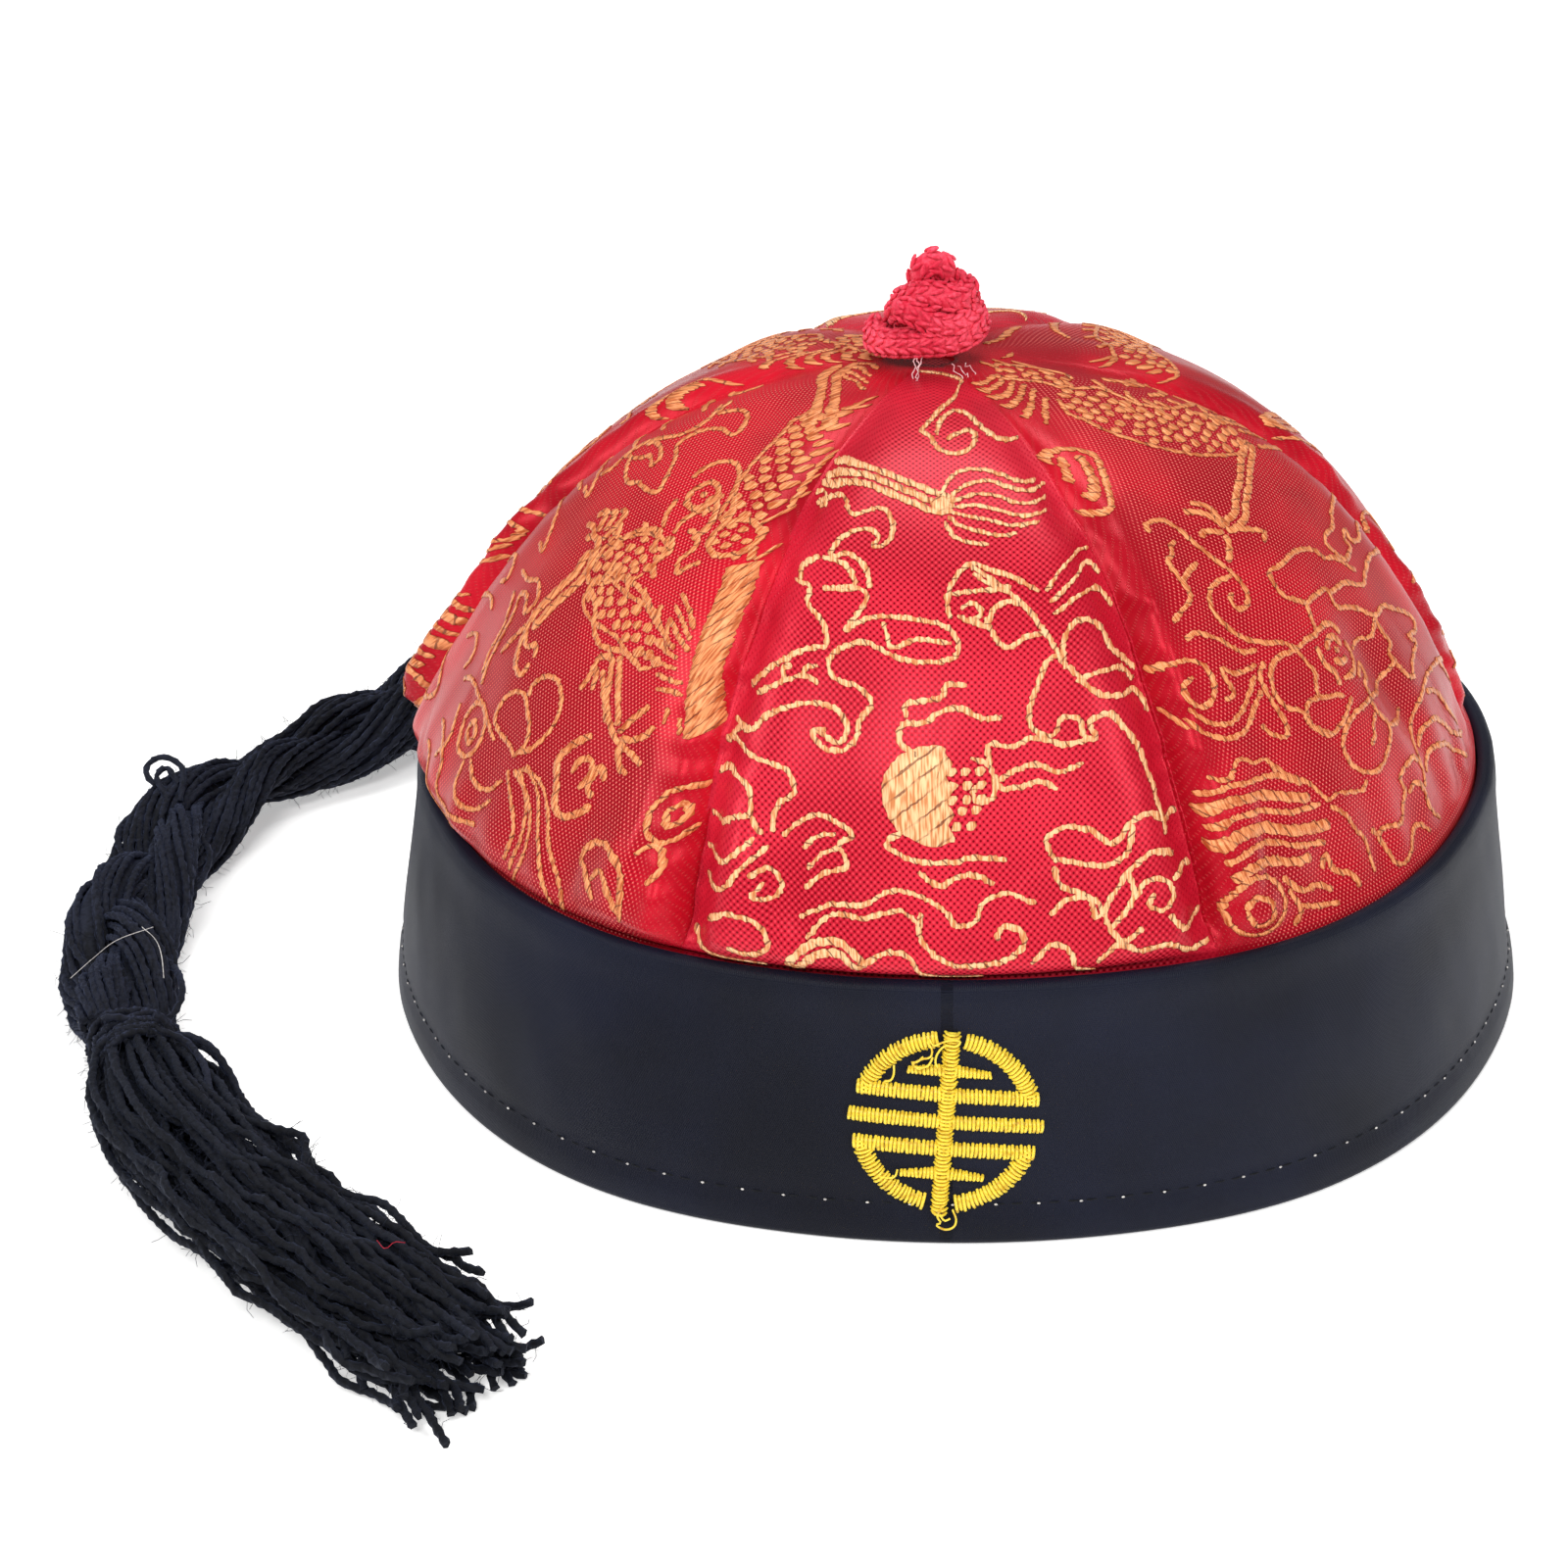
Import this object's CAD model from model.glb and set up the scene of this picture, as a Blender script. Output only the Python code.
"""A brocade skullcap with a turned-up satin band, a knotted cord button and a queue of black yarn.

Sizes are in millimetres, as a maker measures them, and every mesh is made in metres at its place in
the frame. The cap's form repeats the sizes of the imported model, so each piece sits on its own node.
"""

import logging
import math
from collections.abc import Callable
from dataclasses import dataclass
from enum import Enum
from functools import lru_cache

import bpy
import numpy as np
from mathutils import Matrix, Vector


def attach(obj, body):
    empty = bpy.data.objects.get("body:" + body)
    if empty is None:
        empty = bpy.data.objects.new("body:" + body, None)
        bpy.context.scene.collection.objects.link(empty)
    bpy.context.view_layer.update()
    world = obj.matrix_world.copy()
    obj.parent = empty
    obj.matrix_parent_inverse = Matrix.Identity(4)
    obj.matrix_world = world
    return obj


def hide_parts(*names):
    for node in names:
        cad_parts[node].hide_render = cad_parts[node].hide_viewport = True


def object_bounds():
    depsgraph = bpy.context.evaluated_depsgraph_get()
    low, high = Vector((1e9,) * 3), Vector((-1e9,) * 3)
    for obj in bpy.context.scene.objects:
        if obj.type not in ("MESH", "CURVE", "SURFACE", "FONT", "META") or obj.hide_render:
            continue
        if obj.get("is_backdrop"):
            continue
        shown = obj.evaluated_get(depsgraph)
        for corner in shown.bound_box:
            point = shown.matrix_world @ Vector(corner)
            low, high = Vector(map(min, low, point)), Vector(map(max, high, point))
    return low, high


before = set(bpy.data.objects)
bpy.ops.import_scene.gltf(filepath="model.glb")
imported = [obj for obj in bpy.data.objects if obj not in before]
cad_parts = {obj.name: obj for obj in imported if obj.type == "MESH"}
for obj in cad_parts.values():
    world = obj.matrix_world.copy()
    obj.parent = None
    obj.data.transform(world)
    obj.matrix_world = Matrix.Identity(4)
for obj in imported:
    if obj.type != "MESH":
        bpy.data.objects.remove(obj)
CAD_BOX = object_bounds()

MM = 0.001
GOLDEN_ANGLE = 2.39996
BODY = "root"
LOG = logging.getLogger("skullcap")
Points = np.ndarray
Source = bpy.types.NodeSocket | bpy.types.Node | float | tuple


class Slot(Enum):
    """The material slots of the record."""

    SATIN = "band_satin"
    EMBROIDERY = "gold_embroidery"
    BROCADE = "brocade"
    CORD = "knitted_cord"
    YARN = "yarn"


def linear(code: str) -> tuple[float, float, float, float]:
    """Turns an sRGB colour to linear light.

    Args:
        code: the colour as a hash sign and six hex digits.

    Returns:
        Red, green, blue and an alpha of one.
    """
    shares = [int(code[i : i + 2], 16) / 255 for i in (1, 3, 5)]
    rgb = [v / 12.92 if v <= 0.04045 else ((v + 0.055) / 1.055) ** 2.4 for v in shares]
    return (rgb[0], rgb[1], rgb[2], 1.0)


class Nodes:
    """A node tree while it is written."""

    def __init__(self, tree: bpy.types.NodeTree) -> None:
        """Keeps the tree."""
        self.tree = tree

    def add(self, kind: str, inputs: dict | None = None, **settings: str) -> bpy.types.Node:
        """Adds a node.

        Args:
            kind: the node's type name.
            inputs: values, sockets or nodes by input name or number.
            settings: the node's own properties.

        Returns:
            The new node.
        """
        node = self.tree.nodes.new(kind)
        for name, value in settings.items():
            setattr(node, name, value)
        for name, value in (inputs or {}).items():
            source = value.outputs[0] if isinstance(value, bpy.types.Node) else value
            if isinstance(source, bpy.types.NodeSocket):
                self.tree.links.new(source, node.inputs[name])
            else:
                node.inputs[name].default_value = source
        return node

    def calc(self, operation: str, *values: Source) -> bpy.types.Node:
        """Adds a math node over values, sockets or nodes."""
        return self.add("ShaderNodeMath", dict(enumerate(values)), operation=operation)


class Recipe(Nodes):
    """A finish's node tree: noise and weave over the piece, ended by one shader."""

    def __init__(self, name: str) -> None:
        """Starts a material under the finish's name."""
        self.material = bpy.data.materials.new(name)
        self.material.use_nodes = True
        super().__init__(self.material.node_tree)
        self.tree.nodes.clear()
        self.place = self.add("ShaderNodeTexCoord").outputs["Object"]

    def chart(self, name: str) -> bpy.types.Node:
        """Returns one of the piece's UV maps, in millimetres."""
        return self.add("ShaderNodeUVMap", uv_map=name)

    def noise(self, scale: float, detail: float = 2.0, at: Source | None = None) -> bpy.types.Node:
        """Returns noise from 0 to 1, over the object's own places unless others are given."""
        at = self.place if at is None else at
        return self.add("ShaderNodeTexNoise", {"Vector": at, "Scale": scale, "Detail": detail})

    def stretched(self, name: str, shares: tuple) -> bpy.types.Node:
        """Returns one of the piece's UV maps, multiplied along each axis."""
        return self.add("ShaderNodeVectorMath", {0: self.chart(name), 1: shares}, operation="MULTIPLY")

    def ramp(
        self, value: Source, low: float, high: float, to_low: float = 0.0, to_high: float = 1.0
    ) -> bpy.types.Node:
        """Spreads a stretch of values smoothly over another.

        Args:
            value: what is spread.
            low: the value that gives to_low.
            high: the value that gives to_high.
            to_low: the result at and below low.
            to_high: the result at and above high.

        Returns:
            The node.
        """
        inputs = {0: value, 1: low, 2: high, 3: to_low, 4: to_high}
        return self.add("ShaderNodeMapRange", inputs, interpolation_type="SMOOTHSTEP")

    def mix(self, share: Source, first: Source | str, second: Source | str) -> bpy.types.NodeSocket:
        """Mixes two colours.

        Args:
            share: 0 for the first, 1 for the second.
            first: a hex code or another colour's socket.
            second: the same.

        Returns:
            The mixed colour's socket.
        """
        pair = [linear(colour) if isinstance(colour, str) else colour for colour in (first, second)]
        return self.add("ShaderNodeMix", {0: share, 6: pair[0], 7: pair[1]}, data_type="RGBA").outputs[2]

    def weave(self, across: float, up: float) -> bpy.types.Node:
        """Lays out a staggered field of soft spots, as satin threads make where they dive under.

        Args:
            across: the spots' pitch along the cloth, in millimetres.
            up: the rows' pitch up the cloth.

        Returns:
            The field, from -1 to 1.
        """
        turns = self.stretched("cloth", (math.tau / across, math.pi / up, 0))
        parts = self.add("ShaderNodeSeparateXYZ", {0: turns})
        return self.calc("MULTIPLY", *(self.calc("COSINE", parts.outputs[axis]) for axis in (0, 1)))

    def close(self, look: dict, bump: Source, depth: float) -> bpy.types.Material:
        """Ends the tree in a shader with a fine bump.

        Args:
            look: the shader's inputs.
            bump: a height from about 0 to 1.
            depth: the bump's depth in millimetres.

        Returns:
            The finished material.
        """
        normal = self.add("ShaderNodeBump", {"Strength": 1.0, "Distance": depth * MM, "Height": bump})
        shader = self.add("ShaderNodeBsdfPrincipled", {**look, "Normal": normal})
        self.add("ShaderNodeOutputMaterial", {"Surface": shader})
        return self.material


@dataclass(frozen=True)
class BandSatin:
    """Polyester satin over a stiff strip: blue-black, with a soft broad sheen and faint creases."""

    dark: str = "#0a0c18"
    light: str = "#13172a"
    sheen: str = "#7f8aa8"
    thread: float = 0.32
    crease: float = 26.0

    def material(self) -> bpy.types.Material:
        """Returns the finish as a material."""
        recipe = Recipe("polyester_satin_black")
        mottle = recipe.noise(self.crease, 5.0)
        # Drawn a third coarser than the real thread, which is too fine to show
        weave = recipe.weave(self.thread, self.thread)
        look = {
            "Base Color": recipe.mix(recipe.ramp(mottle, 0.3, 0.75), self.dark, self.light),
            "Roughness": 0.47,
            "Specular IOR Level": 0.16,
            "Sheen Weight": 0.05,
            "Sheen Roughness": 0.4,
            "Sheen Tint": linear(self.sheen),
        }
        return recipe.close(look, recipe.calc("MULTIPLY_ADD", weave, 0.1, mottle), 0.35)


@dataclass(frozen=True)
class BrocadeCloth:
    """Satin-faced brocade ground: glossy crimson, broken by a fine staggered grid of thread ends."""

    name: str
    deep: str
    bright: str
    mark: str
    tip: str
    strength: float
    shine: float
    across: float
    up: float
    low: float
    glow: str = "#ff5a68"
    roughness: float = 0.27

    def material(self) -> bpy.types.Material:
        """Returns the finish as a material."""
        recipe = Recipe(self.name)
        spots = recipe.weave(self.across, self.up)
        ends = recipe.ramp(spots, self.low, self.low + 0.45)
        tone = recipe.ramp(recipe.noise(40.0, 4.0), 0.36, 0.66)
        ground = recipe.mix(tone, self.deep, self.bright)
        # Pulled tight over the seam's welt, the cloth shows little of its grid
        to_seam = recipe.add("ShaderNodeSeparateXYZ", {0: recipe.chart("seam")})
        open_cloth = recipe.ramp(to_seam, 3.5, 10.0, 0.1, 1.0)
        share = recipe.calc("MULTIPLY", recipe.calc("MULTIPLY", ends, self.strength), open_cloth)
        raised = recipe.ramp(spots, -0.15, -0.7, 0.0, self.shine)
        lit = recipe.mix(recipe.calc("MULTIPLY", raised, open_cloth), ground, self.tip)
        look = {
            "Base Color": recipe.mix(share, lit, self.mark),
            "Roughness": recipe.ramp(spots, -0.2, 0.9, self.roughness + 0.08, self.roughness - 0.03),
            "Specular IOR Level": 0.9,
            "Specular Tint": linear(self.glow),
        }
        return recipe.close(look, ends, 0.05)


# The rose face shows its warp floats, with dark gaps; the crimson face shows pale weft ends
ROSE_FACE = BrocadeCloth(
    name="silk_brocade_rose_face",
    deep="#b41228",
    bright="#d42238",
    mark="#6c020c",
    tip="#f24a58",
    strength=0.95,
    shine=0.6,
    across=1.05,
    up=0.56,
    low=0.32,
)
CRIMSON_FACE = BrocadeCloth(
    name="silk_brocade_crimson_face",
    deep="#a40a1c",
    bright="#d0162a",
    mark="#ff8c7e",
    tip="#7c0410",
    strength=0.9,
    shine=0.8,
    across=0.8,
    up=0.56,
    low=0.42,
)


@dataclass(frozen=True)
class FigureThread:
    """Figuring weft of the brocade: pale gold rayon floats, nicked by short dark binding threads."""

    name: str = "rayon_figuring_weft_gold"
    shade: str = "#cf7c48"
    light: str = "#ffca96"
    tie: str = "#5a0d12"
    thread: float = 0.34
    thread_run: float = 3.0
    tie_pitch: float = 2.3

    def material(self) -> bpy.types.Material:
        """Returns the finish as a material."""
        recipe = Recipe(self.name)
        # The binding threads slant across each float, wander a little and now and then fade out
        slant = {0: recipe.chart("run"), 1: (1, 0.8, 0)}
        run = recipe.add("ShaderNodeVectorMath", slant, operation="DOT_PRODUCT").outputs["Value"]
        along = recipe.calc("MULTIPLY_ADD", recipe.noise(900.0, 1.0), 0.7, run)
        wave = recipe.calc("COSINE", recipe.calc("MULTIPLY", along, math.tau / self.tie_pitch))
        fading = recipe.ramp(recipe.noise(330.0), 0.4, 0.56, 0.2, 0.8)
        tied = recipe.calc("MULTIPLY", recipe.ramp(wave, 0.86, 0.98), fading)
        # Each thread of the float has its own tone, drawn out along it
        threads = recipe.stretched("cloth", (1 / self.thread, 1 / self.thread_run, 1))
        tone = recipe.noise(1.0, 1.0, threads)
        gold = recipe.mix(recipe.ramp(tone, 0.34, 0.62), self.shade, self.light)
        # The float's edge sinks into the ground in a fine dark outline
        rim = recipe.ramp(recipe.add("ShaderNodeSeparateXYZ", {0: recipe.chart("rim")}), 0.1, 0.5, 0.0, 0.9)
        look = {
            "Base Color": recipe.mix(rim, recipe.mix(tied, gold, self.tie), self.tie),
            "Roughness": 0.34,
            "Specular IOR Level": 0.6,
            "Specular Tint": linear("#ffe0b0"),
        }
        return recipe.close(look, recipe.calc("SUBTRACT", tone, tied), 0.08)


PEACH_WEFT = FigureThread("rayon_figuring_weft_peach", "#bc5a2e", "#f49e68")


@dataclass(frozen=True)
class EmbroideryRayon:
    """Trilobal rayon embroidery thread: bright yellow gold, glossy along each stitch."""

    shade: str = "#d2a30e"
    light: str = "#fbdc3c"

    def material(self) -> bpy.types.Material:
        """Returns the finish as a material."""
        recipe = Recipe("rayon_embroidery_gold")
        tone = recipe.noise(900.0, 3.0)
        look = {
            "Base Color": recipe.mix(recipe.ramp(tone, 0.25, 0.5), self.shade, self.light),
            "Roughness": 0.34,
            "Specular IOR Level": 0.55,
            "Sheen Weight": 0.1,
        }
        return recipe.close(look, tone, 0.08)


@dataclass(frozen=True)
class Fibre:
    """Spun or knitted fibre: matt, with a soft edge light and a fine uneven grain."""

    name: str
    shade: str
    light: str
    sheen: str
    sheen_weight: float = 0.2
    grain: float = 2000.0
    roughness: float = 0.85
    depth: float = 0.12

    def material(self) -> bpy.types.Material:
        """Returns the finish as a material."""
        recipe = Recipe(self.name)
        fine = recipe.noise(self.grain, 4.0)
        share = recipe.calc("MULTIPLY", fine, recipe.noise(self.grain / 14, 2.0))
        look = {
            "Base Color": recipe.mix(recipe.ramp(share, 0.12, 0.4), self.shade, self.light),
            "Roughness": self.roughness,
            "Specular IOR Level": 0.25,
            "Sheen Weight": self.sheen_weight,
            "Sheen Roughness": 0.5,
            "Sheen Tint": linear(self.sheen),
        }
        return recipe.close(look, fine, self.depth)


ACRYLIC_YARN = Fibre("acrylic_yarn_black", "#05060b", "#1b1e2a", "#566084", 0.4, 1100.0, depth=0.3)
LOOSE_YARN = Fibre("acrylic_yarn_black_loose", "#04050a", "#141720", "#4c5674", 0.3, 1100.0, depth=0.35)
KNITTED_CORD = Fibre("knitted_polyester_cord_crimson", "#d4183a", "#ff5870", "#ff8a98", 0.35, 1500.0, 0.5)
SEWING_THREAD = Fibre("cotton_sewing_thread_black", "#0b0c10", "#16181e", "#606678")
RED_LINT = Fibre("rayon_lint_crimson", "#8c1024", "#c62a40", "#ff8090")
PALE_LINT = Fibre("cotton_lint_pale", "#b9b4b2", "#eeeae6", "#ffffff")
TACK_THREAD = Fibre("cotton_tacking_thread_rose", "#e08a94", "#f6d3d3", "#ffffff")


@dataclass(frozen=True)
class PaperSweep:
    """Matt seamless paper: near white, and lit through from below, so that the floor stays pale."""

    colour: str = "#f7f7f6"
    glow: float = 0.42

    def material(self) -> bpy.types.Material:
        """Returns the finish as a material."""
        recipe = Recipe("seamless_paper_white")
        look = {
            "Base Color": linear(self.colour),
            "Roughness": 0.9,
            "Specular IOR Level": 0.1,
            "Emission Color": linear("#ffffff"),
            "Emission Strength": self.glow,
        }
        return recipe.close(look, recipe.noise(300.0), 0.01)


def put(name: str, data: bpy.types.ID) -> bpy.types.Object:
    """Returns a new object of some data, linked into the scene."""
    thing = bpy.data.objects.new(name, data)
    bpy.context.scene.collection.objects.link(thing)
    return thing


def mesh_piece(
    name: str, points: Points, faces: Points | list, finish: bpy.types.Material | None, **maps: Points
) -> bpy.types.Object:
    """Makes a smooth mesh object from points in millimetres.

    Args:
        name: the object's name.
        points: one row of x, y and z per vertex.
        faces: the vertex numbers of each face.
        finish: the object's material, if it has one yet.
        maps: UV maps by name, in millimetres, one row per vertex.

    Returns:
        The object, linked into the scene.
    """
    mesh = bpy.data.meshes.new(name)
    mesh.from_pydata((points * MM).tolist(), [], faces if isinstance(faces, list) else faces.tolist())
    mesh.polygons.foreach_set("use_smooth", [True] * len(mesh.polygons))
    corners = np.empty(len(mesh.loops), np.int32)
    mesh.loops.foreach_get("vertex_index", corners)
    for label, places in maps.items():
        mesh.uv_layers.new(name=label).data.foreach_set("uv", places[corners].astype(np.float32).ravel())
    if finish:
        mesh.materials.append(finish)
    mesh.validate()
    return put(name, mesh)


def settle(piece: bpy.types.Object, slot: Slot, *nodes: str) -> bpy.types.Object:
    """Puts a finished piece on the cap's body, in its slot and in the place of its nodes.

    Args:
        piece: the finished mesh object.
        slot: the record's slot.
        nodes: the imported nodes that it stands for.

    Returns:
        The piece.
    """
    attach(piece, BODY)
    if nodes:
        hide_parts(*nodes)
    LOG.info("%s: %d faces", piece.name, len(piece.data.polygons))
    return piece


def unit(vectors: Points) -> Points:
    """Returns the vectors at length one."""
    return vectors / np.maximum(np.linalg.norm(vectors, axis=-1, keepdims=True), 1e-9)


def smooth_route(points: Points | tuple | list, step: float) -> Points:
    """Follows a smooth curve through a few points at an even pace.

    Args:
        points: the curve's points, two or three numbers a row.
        step: the spacing wanted along the curve.

    Returns:
        Evenly spaced points, the ends included.
    """
    p = np.asarray(points, float)
    p = np.vstack([2 * p[0] - p[1], p, 2 * p[-1] - p[-2]])
    knots = np.concatenate([[0], np.cumsum(np.sqrt(np.linalg.norm(np.diff(p, axis=0), axis=1)) + 1e-9)])
    fine = []
    for i in range(1, len(p) - 2):
        t0, t1, t2, t3 = knots[i - 1 : i + 3]
        t = np.linspace(t1, t2, 16, endpoint=i == len(p) - 3)[:, None]
        a1 = ((t1 - t) * p[i - 1] + (t - t0) * p[i]) / (t1 - t0)
        a2 = ((t2 - t) * p[i] + (t - t1) * p[i + 1]) / (t2 - t1)
        a3 = ((t3 - t) * p[i + 1] + (t - t2) * p[i + 2]) / (t3 - t2)
        b1 = ((t2 - t) * a1 + (t - t0) * a2) / (t2 - t0)
        b2 = ((t3 - t) * a2 + (t - t1) * a3) / (t3 - t1)
        fine.append(((t2 - t) * b1 + (t - t1) * b2) / (t2 - t1))
    return even(np.vstack(fine), step)


def even(line: Points, step: float) -> Points:
    """Spaces the points of a line evenly.

    Args:
        line: points along a line.
        step: the spacing wanted.

    Returns:
        The same line in equal steps.
    """
    run = length_along(line)
    stations = np.linspace(0, run[-1], max(2, round(run[-1] / step) + 1))
    return np.stack([np.interp(stations, run, line[:, i]) for i in range(line.shape[1])], axis=1)


def beside(line: Points) -> tuple[Points, Points]:
    """Returns the directions along a flat line and to its left."""
    ahead = unit(np.gradient(line, axis=0))
    return ahead, np.stack([-ahead[:, 1], ahead[:, 0]], axis=1)


def length_along(line: Points) -> Points:
    """Returns how far each point of a line lies from its start, along it."""
    return np.concatenate([[0], np.cumsum(np.linalg.norm(np.diff(line, axis=0), axis=1))])


def quads(grid: Points) -> Points:
    """Returns the faces of a grid of vertex numbers."""
    corners = (grid[:-1, :-1], grid[:-1, 1:], grid[1:, 1:], grid[1:, :-1])
    return np.stack([corner.ravel() for corner in corners], axis=1)


def lofted(number: Points) -> list[list[int]]:
    """Returns the faces of a closed tube, with a row of vertex numbers for each of its edges."""
    sides = quads(np.vstack([number, number[:1]])).tolist()
    return [*sides, number[:, 0].tolist(), number[::-1, -1].tolist()]


def round_axis(radius: Points, azimuth: Points, z: Points) -> Points:
    """Returns the points at some radii, azimuths and heights round the cap's axis."""
    turn = np.radians(azimuth)
    return np.stack([radius * np.sin(turn), -radius * np.cos(turn), z], axis=-1)


@dataclass(frozen=True)
class Crumple:
    """A smooth random field: a sum of waves of several directions and phases."""

    seed: int
    shortest: float
    longest: float
    waves: int = 14

    def at(self, *places: Points) -> Points:
        """Gives the field at some places.

        Args:
            places: one array for each coordinate, all of one shape.

        Returns:
            Values mostly from -1 to 1.
        """
        rng = np.random.default_rng(self.seed)
        total = np.zeros_like(np.asarray(places[0], float))
        for _ in range(self.waves):
            direction = unit(rng.normal(size=len(places)))
            length = rng.uniform(self.shortest, self.longest)
            phase = rng.uniform(0, math.tau)
            along = sum(d * place for d, place in zip(direction, places))
            total = total + np.sin(math.tau * along / length + phase)
        return total / math.sqrt(self.waves)


def turned(start: float, end: Points) -> Points:
    """Returns the smallest turn between azimuths, in degrees."""
    return (end - start + 540) % 360 - 180


def swell(distance: Points, half_width: float) -> Points:
    """Returns a smooth swell of height one, gone at the half width."""
    inside = np.abs(distance) < half_width
    return np.where(inside, np.cos(math.pi * distance / (2 * half_width)) ** 2, 0)


def bell(distance: Points, width: float) -> Points:
    """Returns a bell curve of height one."""
    return np.exp(-((distance / width) ** 2))


@dataclass(frozen=True)
class Ridge:
    """A ridge along a line, or a valley if its height is negative: its height, its place and its width."""

    height: float
    at: float
    width: float

    def over(self, away: Points) -> Points:
        """Returns its height at distances from the line."""
        return self.height * bell(away - self.at, self.width)


@dataclass(frozen=True)
class Fold:
    """A soft valley up the crown: azimuths at its foot and head, the heights between, depth and width."""

    foot: float
    head: float
    low: float
    high: float
    depth: float
    width: float


@dataclass(frozen=True)
class CapForm:
    """The cap's surface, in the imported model's own sizes."""

    rim_radius: float = 95.0
    band_height: float = 41.4
    band_top_radius: float = 88.8
    band_wall: float = 2.5
    swells: tuple = ((0, 38, -2.0), (42, 30, 1.3), (-42, 30, 1.3), (180, 60, -1.61))
    crown_height: float = 106.5
    crown_base: float = 30.0
    crown_lean: float = -3.0
    crown_foot: float = 30.0
    eye_radius: float = 3.2
    tuck_rise: float = 7.0
    gap: float = 0.3
    seams: tuple = (-27.5, 27.0, 90.5, 149.0, 211.0, 270.0)
    welts: tuple = (1.7, 2.1, 1.6, 1.5, 1.6, 3.0)
    # Each seam's own ridges, in millimetres to the side that its allowance is pressed to
    groove: Ridge = Ridge(-1.7, 0, 4.2)
    puff: Ridge = Ridge(0.9, 9, 5)
    lap: Ridge = Ridge(-1.7, -1.6, 2.3)
    stitch_line: Ridge = Ridge(-0.9, 0, 0.8)
    welt: Ridge = Ridge(1.0, 3.3, 2.5)
    shoulder: Ridge = Ridge(0.6, 8, 5)
    foot_puff: Ridge = Ridge(1.3, 9, 6)
    pucker: Ridge = Ridge(0.42, 2.5, 3.4)
    gather: float = 0.7
    gather_pitch: float = 13.0
    gather_fade: float = 9.0
    eye_fade: float = 12.0
    left: tuple = (94.8, 2.53, 1.18)
    right: tuple = (86.4, 2.97, 1.45)
    folds: tuple = (
        Fold(69, 62, 44, 82, 2.2, 5),
        Fold(-34, -31, 42, 62, 1.4, 4),
        Fold(34, 36, 42, 66, 1.2, 4),
        Fold(-20, -23.5, 42, 68, -1.5, 4.2),
        Fold(-14.5, -18, 42, 60, 1.1, 3.6),
        Fold(-36, -33, 42, 64, -1.4, 4.5),
        Fold(-118, -120, 42, 70, 1.4, 7),
        Fold(181, 179, 42, 66, 1.6, 8),
        Fold(120, 116, 42, 72, 1.4, 7),
    )

    @property
    def eye(self) -> Points:
        """The crown's top, where the seams meet."""
        return np.array([self.crown_lean, 0, self.crown_height])

    def band_outer(self, azimuth: Points, z: Points) -> Points:
        """Returns the band's outer radius at azimuths and heights."""
        radius = self.rim_radius + (self.band_top_radius - self.rim_radius) * z / self.band_height
        for at, half_width, rise in self.swells:
            radius = radius + rise * swell(turned(at, azimuth), half_width)
        return radius

    def profile(self, azimuth: Points) -> tuple[Points, Points, Points]:
        """Returns the crown's widest radius and its two roundness powers at azimuths."""
        share = (1 + np.sin(np.radians(azimuth))) / 2
        values = [a + (b - a) * share for a, b in zip(self.left, self.right)]
        return values[0], values[1], values[2]

    def crown_radius(self, azimuth: Points, z: Points) -> Points:
        """Returns the plain crown's radius at azimuths and heights."""
        radius, side, top = self.profile(azimuth)
        share = np.clip((z - self.crown_base) / (self.crown_height - self.crown_base), 0, 1)
        return radius * np.sin(np.arccos(share ** (top / 2))) ** (2 / side)

    def relief(self, azimuth: Points, r: Points, z: Points) -> Points:
        """How far the cloth stands out of the plain crown.

        Args:
            azimuth: degrees from the front.
            r: the plain crown's radius.
            z: height.

        Returns:
            Seam grooves, the puffs beside them, gathers, folds, puckers and slack, in millimetres.
        """
        arc = np.radians(1) * r
        to_seam = np.min([np.abs(turned(seam, azimuth)) for seam in self.seams], axis=0) * arc
        total = self.groove.over(to_seam) + self.puff.over(to_seam)
        low = np.exp(-(z - self.band_height) / self.gather_fade)
        around = np.radians(azimuth) * self.rim_radius
        total = total + self.gather * low * np.cos(math.tau * around / self.gather_pitch)
        for fold in self.folds:
            along = (z - fold.low) / (fold.high - fold.low)
            away = turned(0, azimuth - (fold.foot + (fold.head - fold.foot) * along)) * arc
            total = total - fold.depth * swell(2 * along - 1, 1) * bell(away, fold.width)
        fade = np.clip((r - self.eye_radius) / self.eye_fade, 0, 1)
        return fade * (total + self.fine_relief(azimuth, arc, z))

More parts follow.
